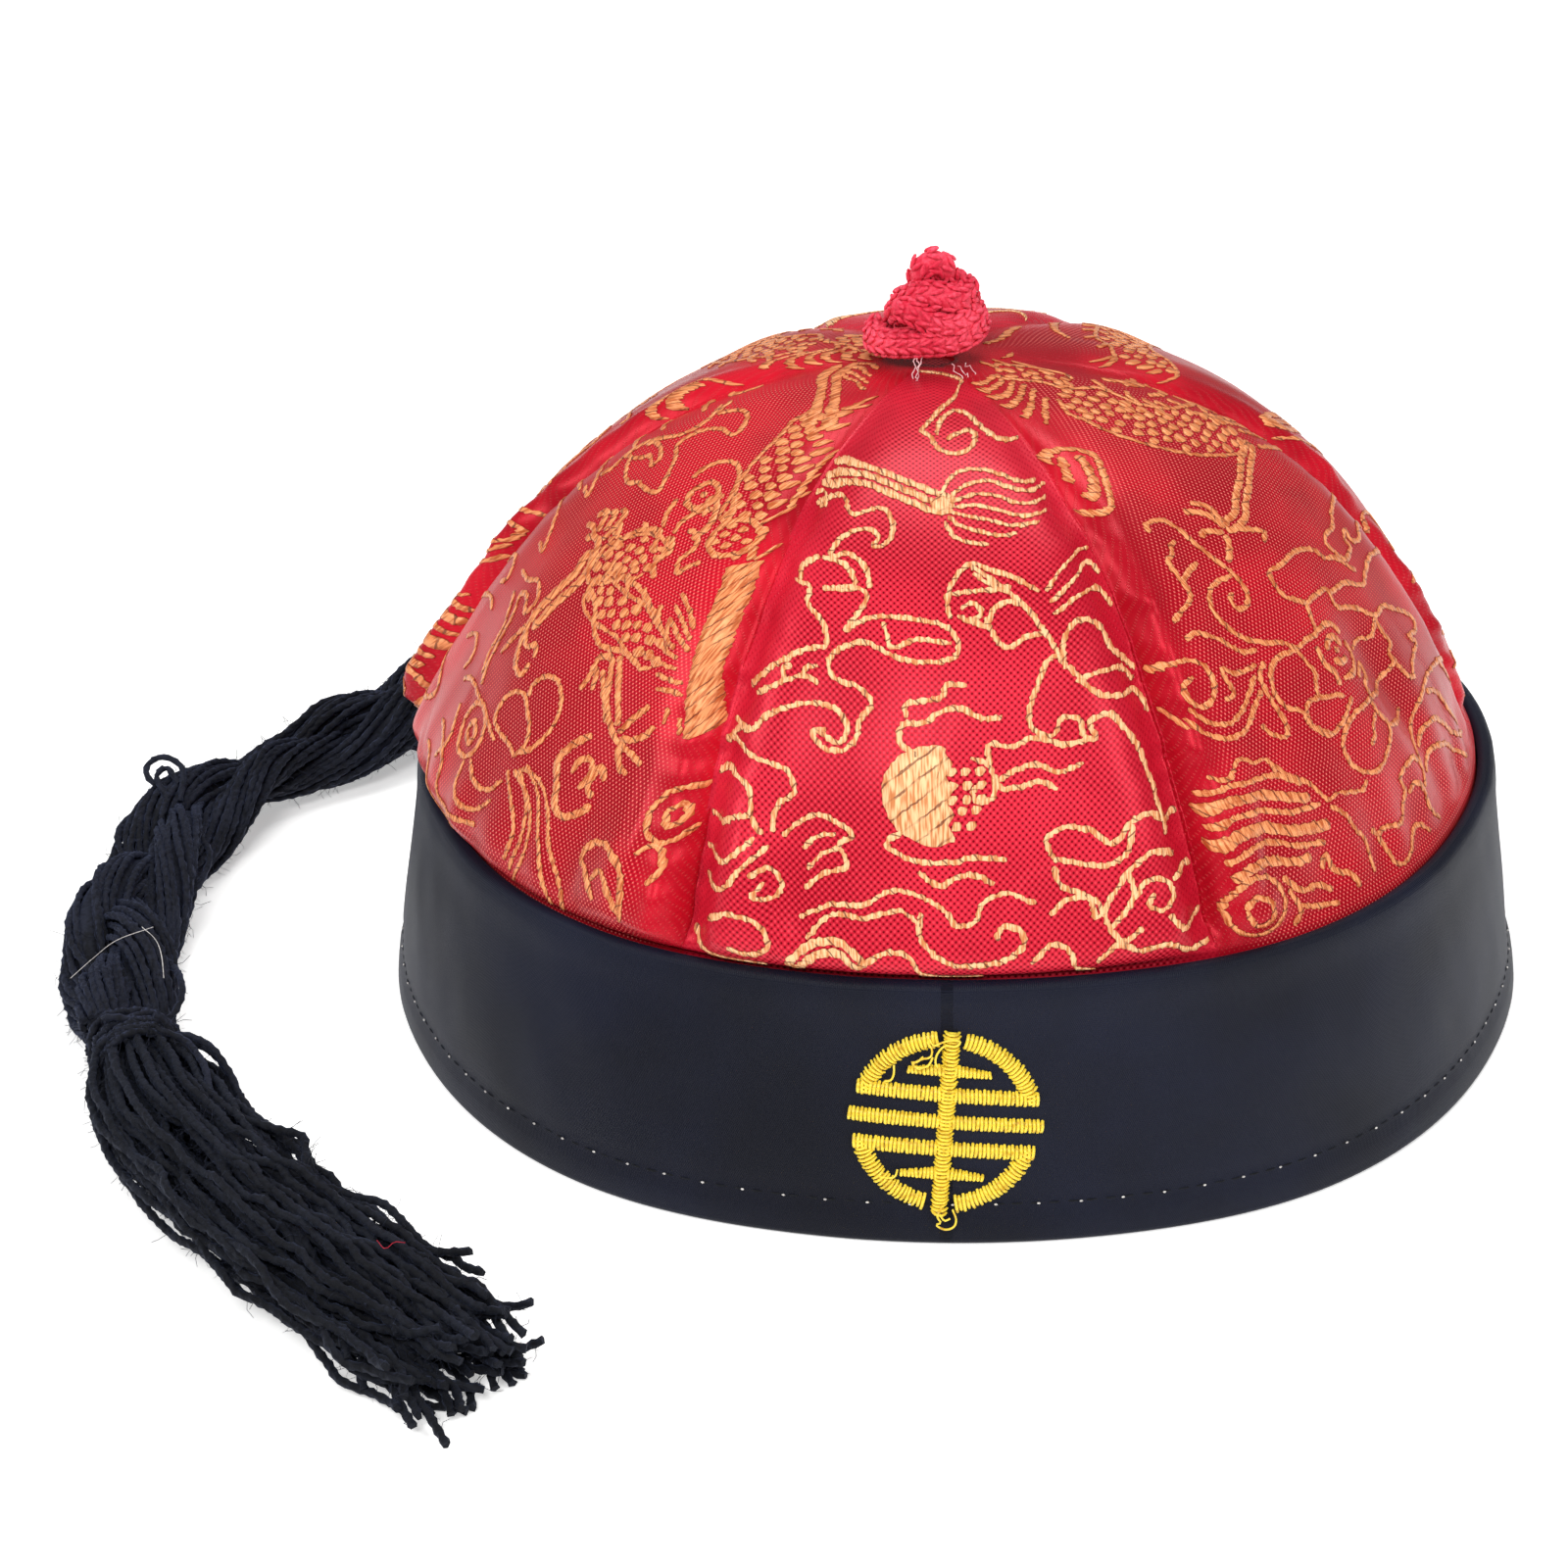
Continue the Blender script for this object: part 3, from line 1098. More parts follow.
FRONT_LEFT_CHART = """
LINE 1.1
-9.4 99.6 -7.8 101 -4.5 105 -1 107.5
-7.6 99.8 -5.6 101.6 -2.6 104.6 1 106
-5.6 100.6 -3.4 102 -0.6 104 3 104.4
-3.6 101.2 -1.4 102 1.4 103 4.6 102.6
RIBBON 4.6
-10.8 98.4 -6 99.6 -1 99.2 2.6 97.2 6.3 94.4 11 89.8
SERPENT 9.4
6.4 95 10 91.2 12 87 13.6 82 15.2 77.6 17.4 73 19.6 68.5
LINE 1.2
2.2 71.2 2.6 74.5 5.5 77 8.8 76.6 11.3 74.5 13 72.8
LINE 1.5
4.8 69.5 6.2 72 9 72 10.4 69.6 8.8 67.2 6.2 67.2 4.8 69.5
LINE 1.4
7 69.6 8.2 70
LINE 1.3
3.8 67 4.7 63.7 6.3 62
12.2 68.7 10 67 8.8 64.5 9.3 62
11.3 63.7 13.8 63.7 15.5 62 14.7 58.7 16.3 57 17.2 58.7 18.8 60.3
LINE 1.5
16.4 66 17.6 68.8 21 69.6 23.6 67.4 23.2 63.8 20 62.4 17.2 63.6 16.4 66
SCALES 2.6
20 66
LINE 1.6
10.6 70.6 13 68.6 14.4 65.6 13.6 62.6
LINE 1.5
13 72.6 15.6 70.2 16.6 67.4
9.6 61.4 11.4 59.6 10.6 56.6 12.6 54.4
LINE 1.4
11.6 66.8 9.6 69.6 11.4 71.6
LINE 1.8
-8.6 53.4 -6.6 54.5 -4.4 54 -3 52.2
LINE 1.7
-10.3 57 -8.7 58.7 -7 55.3
LINE 1.5
-7.6 58.9 -6.2 59.5 -5.3 56.2
-5.6 60.2 -4 60.7 -3.7 57 -4.2 55
-3.4 58.6 -2 57.8 -2.4 55.3
-11.2 55 -8.7 55.3 -7 54.4
RIBBON 4.8
-4.4 52.6 -3.4 48.6 -5 44 -6.2 41 -7.2 37.6
LINE 1.5
-3 50.4 0 48.6 2.2 49.4
-8.7 39.5 -7.8 36.2 -7 32.8 -5.3 30.3
LINE 1.4
-7.6 36.6 -5.3 34.5 -2.8 35.7 -1.6 34
-7 33.4 -5.3 31 -2.8 30.3 -2 32.8
LINE 1.3
-8.4 37 -10.4 33.6 -12.2 30.4
SERPENT 7.6
-0.6 50.6 3 54.4 6.6 56.6 10.4 56
SERPENT 6.6
1.4 49.6 4.6 47.6 9 47 14 46.8 19 45 24 43.4
LINE 1.3
-1.2 52.8 1.3 58.7 6.3 61.2 8 58.7 11.3 59.5
2.2 51.2 6.3 52 11.3 52 16.3 50.3 21.3 47.8 25.5 46.2
1.3 47.8 4.7 46.2 8 42.8 11.3 41.2 16.3 42 20.5 41.2
BAND 4.3
25.2 62 26.8 58.6 28.4 55 30.2 50 32.1 45 34 41 36 37 37.6 34
SCALES 1.5
30.6 59.4
32.2 55.6
SCALES 1.4
33.8 51.8
SCALES 1.3
35.6 47.8
SCALES 1.2
37.2 44
LINE 1.2
23 62.4 24.2 65 25.6 62.8
26 62.8 27.4 65.4 28.6 62.4
29 62 30.8 64.4 31.4 61.6
LINE 1.1
20 54.6 23 53.2 26.4 50.2
20.4 52.4 23.4 51 27 48.4
21 50.2 24 48.8 28 46.6
19 46 23 45.6 27 45
19.6 43.4 23.6 43.2 28 43.4
25 41.4 28 41.4 30.4 41.4
26.6 39.2 29.2 39.8 31.6 39.6
30.4 37.2 31.3 34.5
33 36 34.7 33.7
LINE 1.5
12.2 39.5 14.7 40.3 18.8 33.7 22.2 30.3 24.7 28.7
16.3 41.2 19.7 36.2 23 31.2
LINE 1.3
14.6 38 17.4 34.6 20.8 31
LINE 1.5
23.8 30.3 25.5 33.7 27.2 36.2
24.7 29.5 27.2 30.3 29.3 32 30 33.7
24.7 28.7 28 28.3 31 27.4
25 28.3 27.2 25.8 29.3 25.3
LINE 1.3
12.2 39.5 12.6 36.2 12.2 33.7
12.8 38 13.8 37 14.7 34.5
LINE 1.8
19.3 28.3 16.8 26.2 15 22.8 17.2 18.7 18.4 16.2 20.5 15.3 23.8 17 25 18.7
LINE 1.5
18.8 22 19.3 24 21.3 25 22.6 22.8 21.3 20.3
LINE 1.6
25.5 22.8 23.8 24.5 23 21 24.7 20
LINE 1.5
27.2 10.8 28.8 13.7 32.2 15 36.3 12.8 38 8.7 38.8 4.5
LINE 1.4
27.2 10.8 29.7 9.5 31.3 7.8 33 6.2
31.3 9 33 11.2 35.5 8.7 38 5.3
LINE 1.3
36.6 22 38 25.2 41.4 26 44 23.6 43.6 20 41 17.8 38 18.8 36.6 22
LINE 1.4
39 22.4 40.8 23.4 42 21.6 40.4 20.4 39 22.4
LINE 1.3
37.6 15.6 40 17.4 42.6 14.6 41.4 11.4
LINE 1.2
-4.5 25.3 -2.8 27.4 0.5 28.3 3 26.6 5.5 24.5 6.3 22 4.7 19.5
1.3 30.3 3 32.4 6.3 33.3 9.3 31.2 10.5 28.7 10 25.3 8 22 5.5 20.3
1.3 30.3 1.8 28.6
-4.5 25.3 -4.6 22.6 -2 21 1.6 20.6 4.7 19.5
LINE 1.1
8 18.7 13 18.3 17.2 15.3 20.5 10.3 24.7 5.3 26.3 1.2
6.3 17.8 11.3 15.3 14.7 11.2 15.5 6.2 13.8 2
4.7 17 8 13.7 11.3 9.5 11.3 4.5
8.6 19.4 13.4 16.6 17 11.6 20.6 6.4 23.6 1.4
7.4 18.4 12.2 13.6 13.6 8.6 12.8 3.4
LINE 1.3
-14.6 17.8 -13 21 -9.6 22 -6.4 20 -6 16.4 -8.8 13.8 -12.4 14.2 -14.6 17.8
LINE 1.5
-12 17.6 -10.4 19 -8.4 17.6 -9.6 15.8 -12 17.6
LINE 1.1
-22.8 21.2 -18.7 22.8 -12.8 22.4 -7 21.2 -2 19.5
LINE 1.2
-18.7 18.7 -16.2 13.7 -18.7 9.5
-23.7 13.7 -19.5 12.8 -15.3 10.3 -13.7 5.3 -5.3 5.3 1.3 6.2
-6 14.6 -2.4 12 1.6 12.4 4.4 15.2
-8 13.4 -7.4 9.6 -4 7.8 0.4 8.6 3.6 11.4
-26 9 -21 6.4 -17.6 3 -13 1.6 -7 2.4
-10.3 85.3 -8.7 82.8 -7 84.5 -4.5 85.8 -2 84.5 -0.3 81.2 -3.7 80.8 -6.2 79.5
-6.2 79.5 -7.8 77 -8.3 74 -5.3 72 -2.8 68.7 -1.6 66.2 -4.5 65.3 -7.8 65.3
-7.8 65.3 -10.3 64 -13.7 65 -16.2 67 -17.8 66.2
-10.8 83.7 -9 81.2 -9 77.8 -11.2 74.5 -14.5 72 -16.6 69.5 -17.8 66.2 -17.8 63.7
-17.8 63.7 -19.5 61.2
-15.3 70.3 -13.7 71.6 -11.2 71.6 -8.7 70.3 -8.7 68.7 -11.2 69.5 -13.7 67.8
-13.7 67.8 -15.3 67
-22 80 -17 82.5 -13 85.5 -11 89.5
-21 78 -16 80 -12.5 80.8
-27 66 -22 68 -17 68
-26 71 -20 73 -16 73.5
-30 60 -25 62 -20 60.5 -18 57.5 -21 58
-33 53 -27 56 -22 57
-34 49.5 -28 52 -24 52 -21 49 -19 46 -22 46.5
-22 41 -17 41.5 -13 43 -10 41 -11 38 -14 40 -17 39
-17 39 -15 36 -15 31 -15 27 -14 24
LINE 1.1
-20 38 -18 36 -16.5 33 -17 28 -16 25
LINE 1.2
-38 36 -33 38 -28 41 -26 38 -28 36
-40 29 -34 31 -29 33 -26 32
-42 20 -37 18 -34 14 -38 11 -43 12
-31 25 -27 27 -24 25 -25 22
"""
BACK_RIGHT_CHART = """
LINE 1.2
-8 104 -4 106.5
2 108 3 104 7 98 11 93
0 94.5 4 94 9 90 15 83 21 74 26 66
SERPENT 9.0
-21 82 -14 85.5 -7 86.5 0 84 7 78 13 70 19 61 25 52 30 43
SERPENT 7.5
2 46 10 42 18 40.5 27 37.5 36 33.5
RIBBON 6.0
-24 65 -17 58 -9 50 -2 43
LINE 1.2
-28 62 -24 58 -20 50
RIBBON 3.2
18 36.5 22 29 26 21 30 12
LINE 1.4
30 12 26 10 24.5 7.5
30 12 34 13 38 12
31 11 34 8 38 7
31 10 34 5 36 2
LINE 1.2
24 32 26 26 29 21
-29 31 -22 27 -13 22 -5 13 0 8 2 3
-12 28 -4 20 1 13 6 13 7 16 3 23 -1 28 -8 31
0 11 8 10.5 14 9 19 6 24 3 27 1
-3 21 -1 18 3 14
-18 10 -12 9 -6 7 0 6 5 7 10 4 13 1
-19 9 -15 5 -11 1
-22 38 -18 35 -14 32 -10 36 -6 38
-36 16 -31 13 -27 8 -22 4 -18 1
-34 38 -31 41 -28 39 -30 35 -33 33
-36 27 -33 28 -31 24 -26 21 -23 17
10 24 14 27 17 24 15 20 11 20 10 24
-39 10 -35 11 -32 7 -34 3 -38 3
"""


@dataclass(frozen=True)
class Row:
    """One row of a chart: how it is woven, its width in millimetres, and its places."""

    motif: Motif
    width: float
    places: Points


def read_chart(text: str) -> list[Row]:
    """Reads a chart.

    Args:
        text: headings of a motif and a width, each followed by its rows, with across and up by turns.

    Returns:
        The rows in order.
    """
    rows, motif, width = [], Motif.LINE, 0.0
    for words in (line.split() for line in text.split("\n") if line):
        if words[0] in Motif.__members__:
            motif, width = Motif[words[0]], float(words[1])
        else:
            rows.append(Row(motif, width, np.array(words, float).reshape(-1, 2)))
    return rows


@dataclass(frozen=True)
class Float:
    """One raised line of figuring thread on a chart, and whether hairlines part it."""

    line: Points
    width: float
    tied: bool = True


@dataclass(frozen=True)
class Patch:
    """One flat filled shape on a chart, parted by slanting hairlines: its middle and its outline."""

    heart: Points
    outline: Points


@dataclass(frozen=True)
class Scale:
    """One small filled cell on a chart: its middle, its heading, half its length and half its width."""

    heart: Points
    ahead: Points
    length: float
    width: float


@dataclass
class Weaver:
    """Weaves chart rows into raised lines and cells of figuring thread on one gore."""

    gore: Gore
    seed: int
    mirrored: bool = False
    step: float = 0.42
    rise: float = 0.19
    sink: float = 0.14
    edge: float = 0.5
    thinning: float = 0.26
    jag: float = 0.19
    cell: float = 2.3
    # A place on the weave's run that lies between two binding threads
    untied: tuple = (1.15, 0.0)
    cell_outline: tuple = (
        (-1, -0.3), (-0.5, -0.9), (0.1, -0.95), (1, -0.35), (0.85, 0.4), (0, 1), (-0.6, 0.7),
    )

    def __post_init__(self) -> None:
        """Starts the empty cloth."""
        self.rng = np.random.default_rng(self.seed)
        self.maps = {"cloth": [], "run": [], "rim": []}
        self.lifts, self.faces, self.count = [], [], 0

    def items(self, motif: Motif, width: float, places: Points) -> list[Float | Patch | Scale]:
        """Breaks a chart row into lines and cells.

        Args:
            motif: how the row is woven.
            width: the row's width or radius.
            places: the row's chart places.

        Returns:
            The floats, patches and scales that it is made of.
        """
        if motif is Motif.DISC:
            return self.disc(width, places[0])
        if motif is Motif.SCALES:
            return self.scales(width, places[0])
        spine = smooth_route(places, self.step)
        if motif is Motif.LINE:
            return [Float(spine, width - self.thinning)]
        if motif is Motif.BAND:
            return [Float(spine, width)]
        ahead, aside = beside(spine)
        taper = np.clip(np.minimum(np.linspace(0.4, 6, len(spine)), np.linspace(8, 0.5, len(spine))), 0, 1)
        if motif is Motif.RIBBON:
            count = max(2, round(width / 2))
            shares = (np.arange(count) + 0.5) / count - 0.5
            wide = width / count * 0.82
            return [Float(spine + aside * (share * width * taper)[:, None], wide) for share in shares]
        return self.serpent(spine, ahead, aside, taper * width)

    def serpent(self, spine: Points, ahead: Points, aside: Points, width: Points) -> list[Float | Scale]:
        """Lays out a scaled body: an edge each side, rows of scales between, and a comb along the back."""
        found = [Float(spine + aside * (side * width / 2)[:, None], 0.8) for side in (-1, 1)]
        pitch = max(1, round(self.cell / self.step))
        scatter = self.rng.uniform(-1, 1, (len(spine), 8, 3))
        for row, i in enumerate(range(1, len(spine) - 1, pitch)):
            inner = width[i] - 1.5
            columns = max(1, round(inner / self.cell))
            for k in range(columns):
                share = (k + 0.5 + 0.25 * (-1) ** row) / columns - 0.5
                drift, spin_by, size = scatter[i, min(k, 7)]
                heart = spine[i] + aside[i] * (share * inner + 0.25 * drift) + ahead[i] * 0.3 * spin_by
                heading = unit(ahead[i] + aside[i] * 0.35 * spin_by)
                size = 1 + 0.16 * size
                found.append(Scale(heart, heading, self.cell * 0.5 * size, inner / columns * 0.45 * size))
            if row % 2 == 0:
                root = spine[i] + aside[i] * (width[i] / 2 + 0.2)
                tip = root + aside[i] * 1.9 - ahead[i] * 2.1
                found.append(Float(even(np.stack([root, tip]), self.step), 1.0, False))
        return found

    def disc(self, radius: float, centre: Points) -> list[Patch]:
        """Fills a round with one flat shape that has a jagged rim; a big one is cut off on its right."""
        turn = np.linspace(0, math.tau, max(12, int(9 * radius)), endpoint=False)
        rim = (radius + self.jag * self.rng.uniform(-1, 1, len(turn)))[:, None]
        outline = np.column_stack([np.cos(turn), np.sin(turn)]) * rim
        if radius > 4:
            outline[:, 0] = np.minimum(outline[:, 0], 0.36 * radius + 0.5 * np.sin(outline[:, 1] * 1.7))
        return [Patch(centre, outline[::-1] * (-1, 1) if self.mirrored else outline)]

    def scales(self, radius: float, centre: Points) -> list[Scale]:
        """Fills a round with small scales."""
        count = max(2, round(radius))
        found = []
        for row in range(count):
            y = ((row + 0.5) / count - 0.5) * 2 * radius
            half = math.sqrt(max(radius**2 - y**2, 0))
            for x in np.arange(-half + 0.9 * (row % 2), half, 2.1):
                found.append(Scale(centre + np.array([x, y]), np.array([0.9, 0.43]), 0.95, 0.82))
        return found

    def kept(self, line: Points) -> list[Points]:
        """Cuts a line where it runs past a seam, the band or the crown's eye."""
        across, up = line.T
        lengths, _ = self.gore.meridian()
        inside = (np.abs(across) < self.gore.half_width(up) - self.edge) & (up > 0.3) & (up < lengths[-1] - 1)
        runs = np.split(np.arange(len(line)), np.flatnonzero(np.diff(inside.astype(int))) + 1)
        return [line[run] for run in runs if inside[run[0]] and len(run) > 2]

    def weave(self, name: str, chart: list[Row], finish: bpy.types.Material) -> bpy.types.Object:
        """Weaves a chart.

        Args:
            name: the piece's name.
            chart: the rows.
            finish: the figuring thread.

        Returns:
            One mesh of closed raised lines and cells, lying on the gore.
        """
        for row in chart:
            places = row.places * (-1, 1) if self.mirrored else row.places
            for item in self.items(row.motif, row.width, places):
                if isinstance(item, Scale):
                    self.add_scale(item)
                elif isinstance(item, Patch):
                    self.add_patch(item)
                else:
                    for run in self.kept(item.line):
                        self.add_float(run, item)
        maps = {label: np.vstack(rows) for label, rows in self.maps.items()}
        across, up = maps["cloth"].T
        face, normal = self.gore.point(across, up), self.gore.normal(across, up)
        points = face + normal * np.concatenate(self.lifts)[:, None]
        return mesh_piece(name, points, self.faces, finish, **maps)

    def store(self, place: Points, lift: float, run: Points) -> None:
        """Keeps one line of points: their places, how far they stand off the cloth, and their run."""
        self.maps["cloth"].append(place)
        self.maps["run"].append(run)
        self.maps["rim"].append(np.full((len(place), 2), float(lift < 0)))
        self.lifts.append(np.full(len(place), lift))

    def add_float(self, line: Points, item: Float) -> None:
        """Adds one raised line, with ragged edges, as threads bound at every few picks have."""
        count = len(line)
        _, aside = beside(line)
        ragged = self.jag * self.rng.uniform(-1, 1, (2, count))
        taper = np.ones(count)
        taper[[0, -1]] = 0.6
        run = np.arange(count) * self.step + self.rng.uniform(0, 9)
        crest = (-0.96, -0.35, 0.35, 0.96) if item.width > 3 else (-0.8, 0.8)
        profile = ((-1, -self.sink), *((share, self.rise) for share in crest), (1, -self.sink))
        for share, lift in profile:
            reach = (share * item.width / 2 + math.copysign(1, share) * ragged[int(share > 0)]) * taper
            ties = np.column_stack([run, reach]) if item.tied else np.full((count, 2), self.untied)
            self.store(line + aside * reach[:, None], lift, ties)
        number = self.count + np.arange(len(profile) * count).reshape(-1, count)
        self.faces += lofted(number[::-1])
        self.count += number.size

    def add_rings(self, heart: Points, outline: Points, rings: tuple, run: Callable) -> None:
        """Adds one filled shape in rings, so that it bends with the cloth under it.

        Args:
            heart: its middle.
            outline: its outline about the middle.
            rings: each ring's share of the outline and its height, from the rim in.
            run: gives the run of the weave at some places.
        """
        for share, lift in rings:
            place = heart + outline * share
            self.store(place, lift, run(place))
        number = self.count + np.arange(len(rings) * len(outline)).reshape(len(rings), -1)
        self.faces += quads(np.hstack([number, number[:, :1]])).tolist()
        self.faces += [number[-1].tolist(), number[0, ::-1].tolist()]
        self.count += number.size

    def add_patch(self, item: Patch) -> None:
        """Adds one filled shape, parted by slanting hairlines."""
        rings = ((1.0, -self.sink), (0.985, self.rise), (0.7, self.rise), (0.35, self.rise))
        slant = np.array([[-0.6, 0], [0.8, 0]])
        self.add_rings(item.heart, item.outline, rings, lambda place: place @ slant)

    def add_scale(self, item: Scale) -> None:
        """Adds one scale-shaped cell, if it lies inside the gore."""
        aside = np.array([-item.ahead[1], item.ahead[0]])
        outline = np.array(self.cell_outline)
        outline = outline + self.rng.uniform(-0.13, 0.13, outline.shape)
        outline = outline[:, :1] * item.length * item.ahead + outline[:, 1:] * item.width * aside
        inside = self.kept(item.heart + outline)
        if len(inside) == 1 and len(inside[0]) == len(outline):
            rings = ((1, -self.sink), (0.82, self.rise))
            self.add_rings(item.heart, outline, rings, lambda place: np.full(place.shape, self.untied))


@dataclass
class Crown:
    """The six gores and the figures woven into them."""

    form: CapForm = CapForm()
    wall: float = 1.4
    overlap: float = 0.25
    across: int = 96
    up: int = 120

    def gores(self) -> list[Gore]:
        """Returns the gores in order round from the front."""
        names = ("front", "front_right", "back_right", "back", "back_left", "front_left")
        ends = self.form.seams[1:] + (self.form.seams[0] + 360,)
        return [Gore(n, a, b) for n, a, b in zip(names, self.form.seams, ends)]

    def cloth(self, gore: Gore, finish: bpy.types.Material) -> bpy.types.Object:
        """Makes one gore as a closed wall of cloth.

        Args:
            gore: the gore.
            finish: the brocade.

        Returns:
            The mesh object.
        """
        lengths, _ = gore.meridian()
        ups = np.concatenate([np.linspace(lengths[0], -1.5, 5), np.linspace(0, lengths[-1], self.up)])
        even_shares = np.linspace(-1, 1, self.across)
        shares = (even_shares + np.sin(even_shares * math.pi / 2)) / 2
        up = np.repeat(ups, self.across)
        limit = np.repeat(gore.half_width(ups), self.across)
        across = np.tile(shares, len(ups)) * (limit + self.overlap)
        outer = gore.point(across, up)
        inner = outer - gore.normal(across, np.clip(up, 0.5, lengths[-1] - 0.5)) * self.wall
        count = len(outer)
        grid = np.arange(count).reshape(len(ups), self.across)
        border = np.concatenate([grid[0, :-1], grid[:-1, -1], grid[-1, :0:-1], grid[:0:-1, 0]])
        follow = np.roll(border, -1)
        rim = np.stack([border, border + count, follow + count, follow], axis=1)
        faces = np.vstack([quads(grid), quads(grid)[:, ::-1] + count, rim])
        maps = {"cloth": np.column_stack([across, up]), "seam": np.column_stack([limit - np.abs(across), up])}
        maps = {label: np.vstack([places, places]) for label, places in maps.items()}
        piece = mesh_piece(f"cloth_{gore.name}", np.vstack([outer, inner]), faces, finish, **maps)
        return settle(piece, Slot.BROCADE, f"gore_{gore.name}")

    def build(self) -> None:
        """Makes the gores and their figures."""
        rose = (ROSE_FACE.material(), FigureThread().material())
        crimson = (CRIMSON_FACE.material(), PEACH_WEFT.material())
        plans = {
            "front": (FRONT_CHART, False, rose),
            "front_right": (FRONT_RIGHT_CHART, False, crimson),
            "back_right": (BACK_RIGHT_CHART, False, crimson),
            "back": (FRONT_CHART, True, rose),
            "back_left": (FRONT_RIGHT_CHART, True, crimson),
            "front_left": (FRONT_LEFT_CHART, False, crimson),
        }
        for number, gore in enumerate(self.gores()):
            chart, mirrored, (ground, thread) = plans[gore.name]
            self.cloth(gore, ground)
            weaver = Weaver(gore, 100 + number, mirrored)
            settle(weaver.weave(f"figures_{gore.name}", read_chart(chart), thread), Slot.BROCADE)


class Tree(Nodes):
    """A geometry node tree with named inputs, run on a holder object and baked to a plain mesh."""

    def __init__(self, name: str, **inputs: str) -> None:
        """Starts the tree.

        Args:
            name: the tree's name.
            inputs: the kind of each named input, after the geometry.
        """
        super().__init__(bpy.data.node_groups.new(name, "GeometryNodeTree"))
        face = self.tree.interface
        for label, kind in {"Geometry": "Geometry", **inputs, "Material": "Material"}.items():
            face.new_socket(label, in_out="INPUT", socket_type="NodeSocket" + kind)
        face.new_socket("Geometry", in_out="OUTPUT", socket_type="NodeSocketGeometry")
        self.entry = self.add("NodeGroupInput").outputs

    def copies(self, points: bpy.types.Node, rotation: Source, scale: Source = (1.0, 1.0, 1.0)) -> "Tree":
        """Ends the tree in copies of its object on some points."""
        copy = self.add("GeometryNodeObjectInfo", {"Object": self.entry["Object"]}).outputs["Geometry"]
        inputs = {"Points": points, "Instance": copy, "Rotation": rotation, "Scale": scale}
        return self.close(self.add("GeometryNodeInstanceOnPoints", inputs))

    def close(self, geometry: bpy.types.Node) -> "Tree":
        """Ends the tree in realized instances, smooth faces and a material."""
        real = self.add("GeometryNodeRealizeInstances", {0: geometry})
        smooth = self.add("GeometryNodeSetShadeSmooth", {0: real})
        dressed = self.add("GeometryNodeSetMaterial", {0: smooth, "Material": self.entry["Material"]})
        self.add("NodeGroupOutput", {0: dressed})
        return self

    def bake(self, holder: bpy.types.Object, values: dict, name: str) -> bpy.types.Object:
        """Runs the tree once and keeps its result.

        Args:
            holder: the object that carries the tree's geometry, removed afterwards.
            values: the inputs by name.
            name: the new object's name.

        Returns:
            A plain mesh object.
        """
        modifier = holder.modifiers.new("build", "NODES")
        modifier.node_group = self.tree
        for item in self.tree.interface.items_tree:
            if item.item_type == "SOCKET" and item.in_out == "INPUT" and item.name in values:
                modifier[item.identifier] = values[item.name]
        bpy.context.view_layer.update()
        graph = bpy.context.evaluated_depsgraph_get()
        mesh = bpy.data.meshes.new_from_object(holder.evaluated_get(graph), depsgraph=graph)
        holder.modifiers.remove(modifier)
        bpy.data.objects.remove(holder)
        mesh.name = name
        return put(name, mesh)


def curve_holder(name: str, lines: list[Points], radii: list[Points] | None = None) -> bpy.types.Object:
    """Makes a curve object of straight-stepped lines.

    Args:
        name: the object's name.
        lines: each line's points in millimetres.
        radii: each line's radius factors, one for each point.

    Returns:
        The curve object.
    """
    curve = bpy.data.curves.new(name, "CURVE")
    curve.dimensions = "3D"
    for number, line in enumerate(lines):
        spline = curve.splines.new("POLY")
        spline.points.add(len(line) - 1)
        spline.points.foreach_set("co", np.column_stack([line * MM, np.ones(len(line))]).ravel())
        if radii is not None:
            spline.points.foreach_set("radius", np.asarray(radii[number], float))
    return put(name, curve)


def thread_tree() -> Tree:
    """Builds the tree that turns curves to threads: a flattened round section, twisted along its length."""
    tree = Tree("thread", Radius="Float", Sides="Int", Flatness="Float", Twist="Float")
    entry = tree.entry
    tilt = tree.calc("MULTIPLY", tree.add("GeometryNodeSplineParameter").outputs["Length"], entry["Twist"])
    tilted = tree.add("GeometryNodeSetCurveTilt", {"Curve": entry[0], "Tilt": tilt})
    size = {"Resolution": entry["Sides"], "Radius": entry["Radius"]}
    circle = tree.add("GeometryNodeCurvePrimitiveCircle", size)
    flat = tree.add("ShaderNodeCombineXYZ", {0: 1.0, 1: entry["Flatness"], 2: 1.0})
    section = tree.add("GeometryNodeTransform", {"Geometry": circle, "Scale": flat})
    inputs = {"Curve": tilted, "Profile Curve": section, "Fill Caps": True}
    tube = tree.add("GeometryNodeCurveToMesh", inputs)
    if "Scale" in tube.inputs:
        tree.tree.links.new(tree.add("GeometryNodeInputRadius").outputs[0], tube.inputs["Scale"])
    return tree.close(tube)


def scatter_tree() -> Tree:
    """Builds the tree that stands copies of a small object along curves, turned with the line."""
    tree = Tree("march", Pitch="Float", Object="Object")
    inputs = {"Curve": tree.entry[0], "Length": tree.entry["Pitch"]}
    points = tree.add("GeometryNodeCurveToPoints", inputs, mode="LENGTH")
    return tree.copies(points, points.outputs["Rotation"])


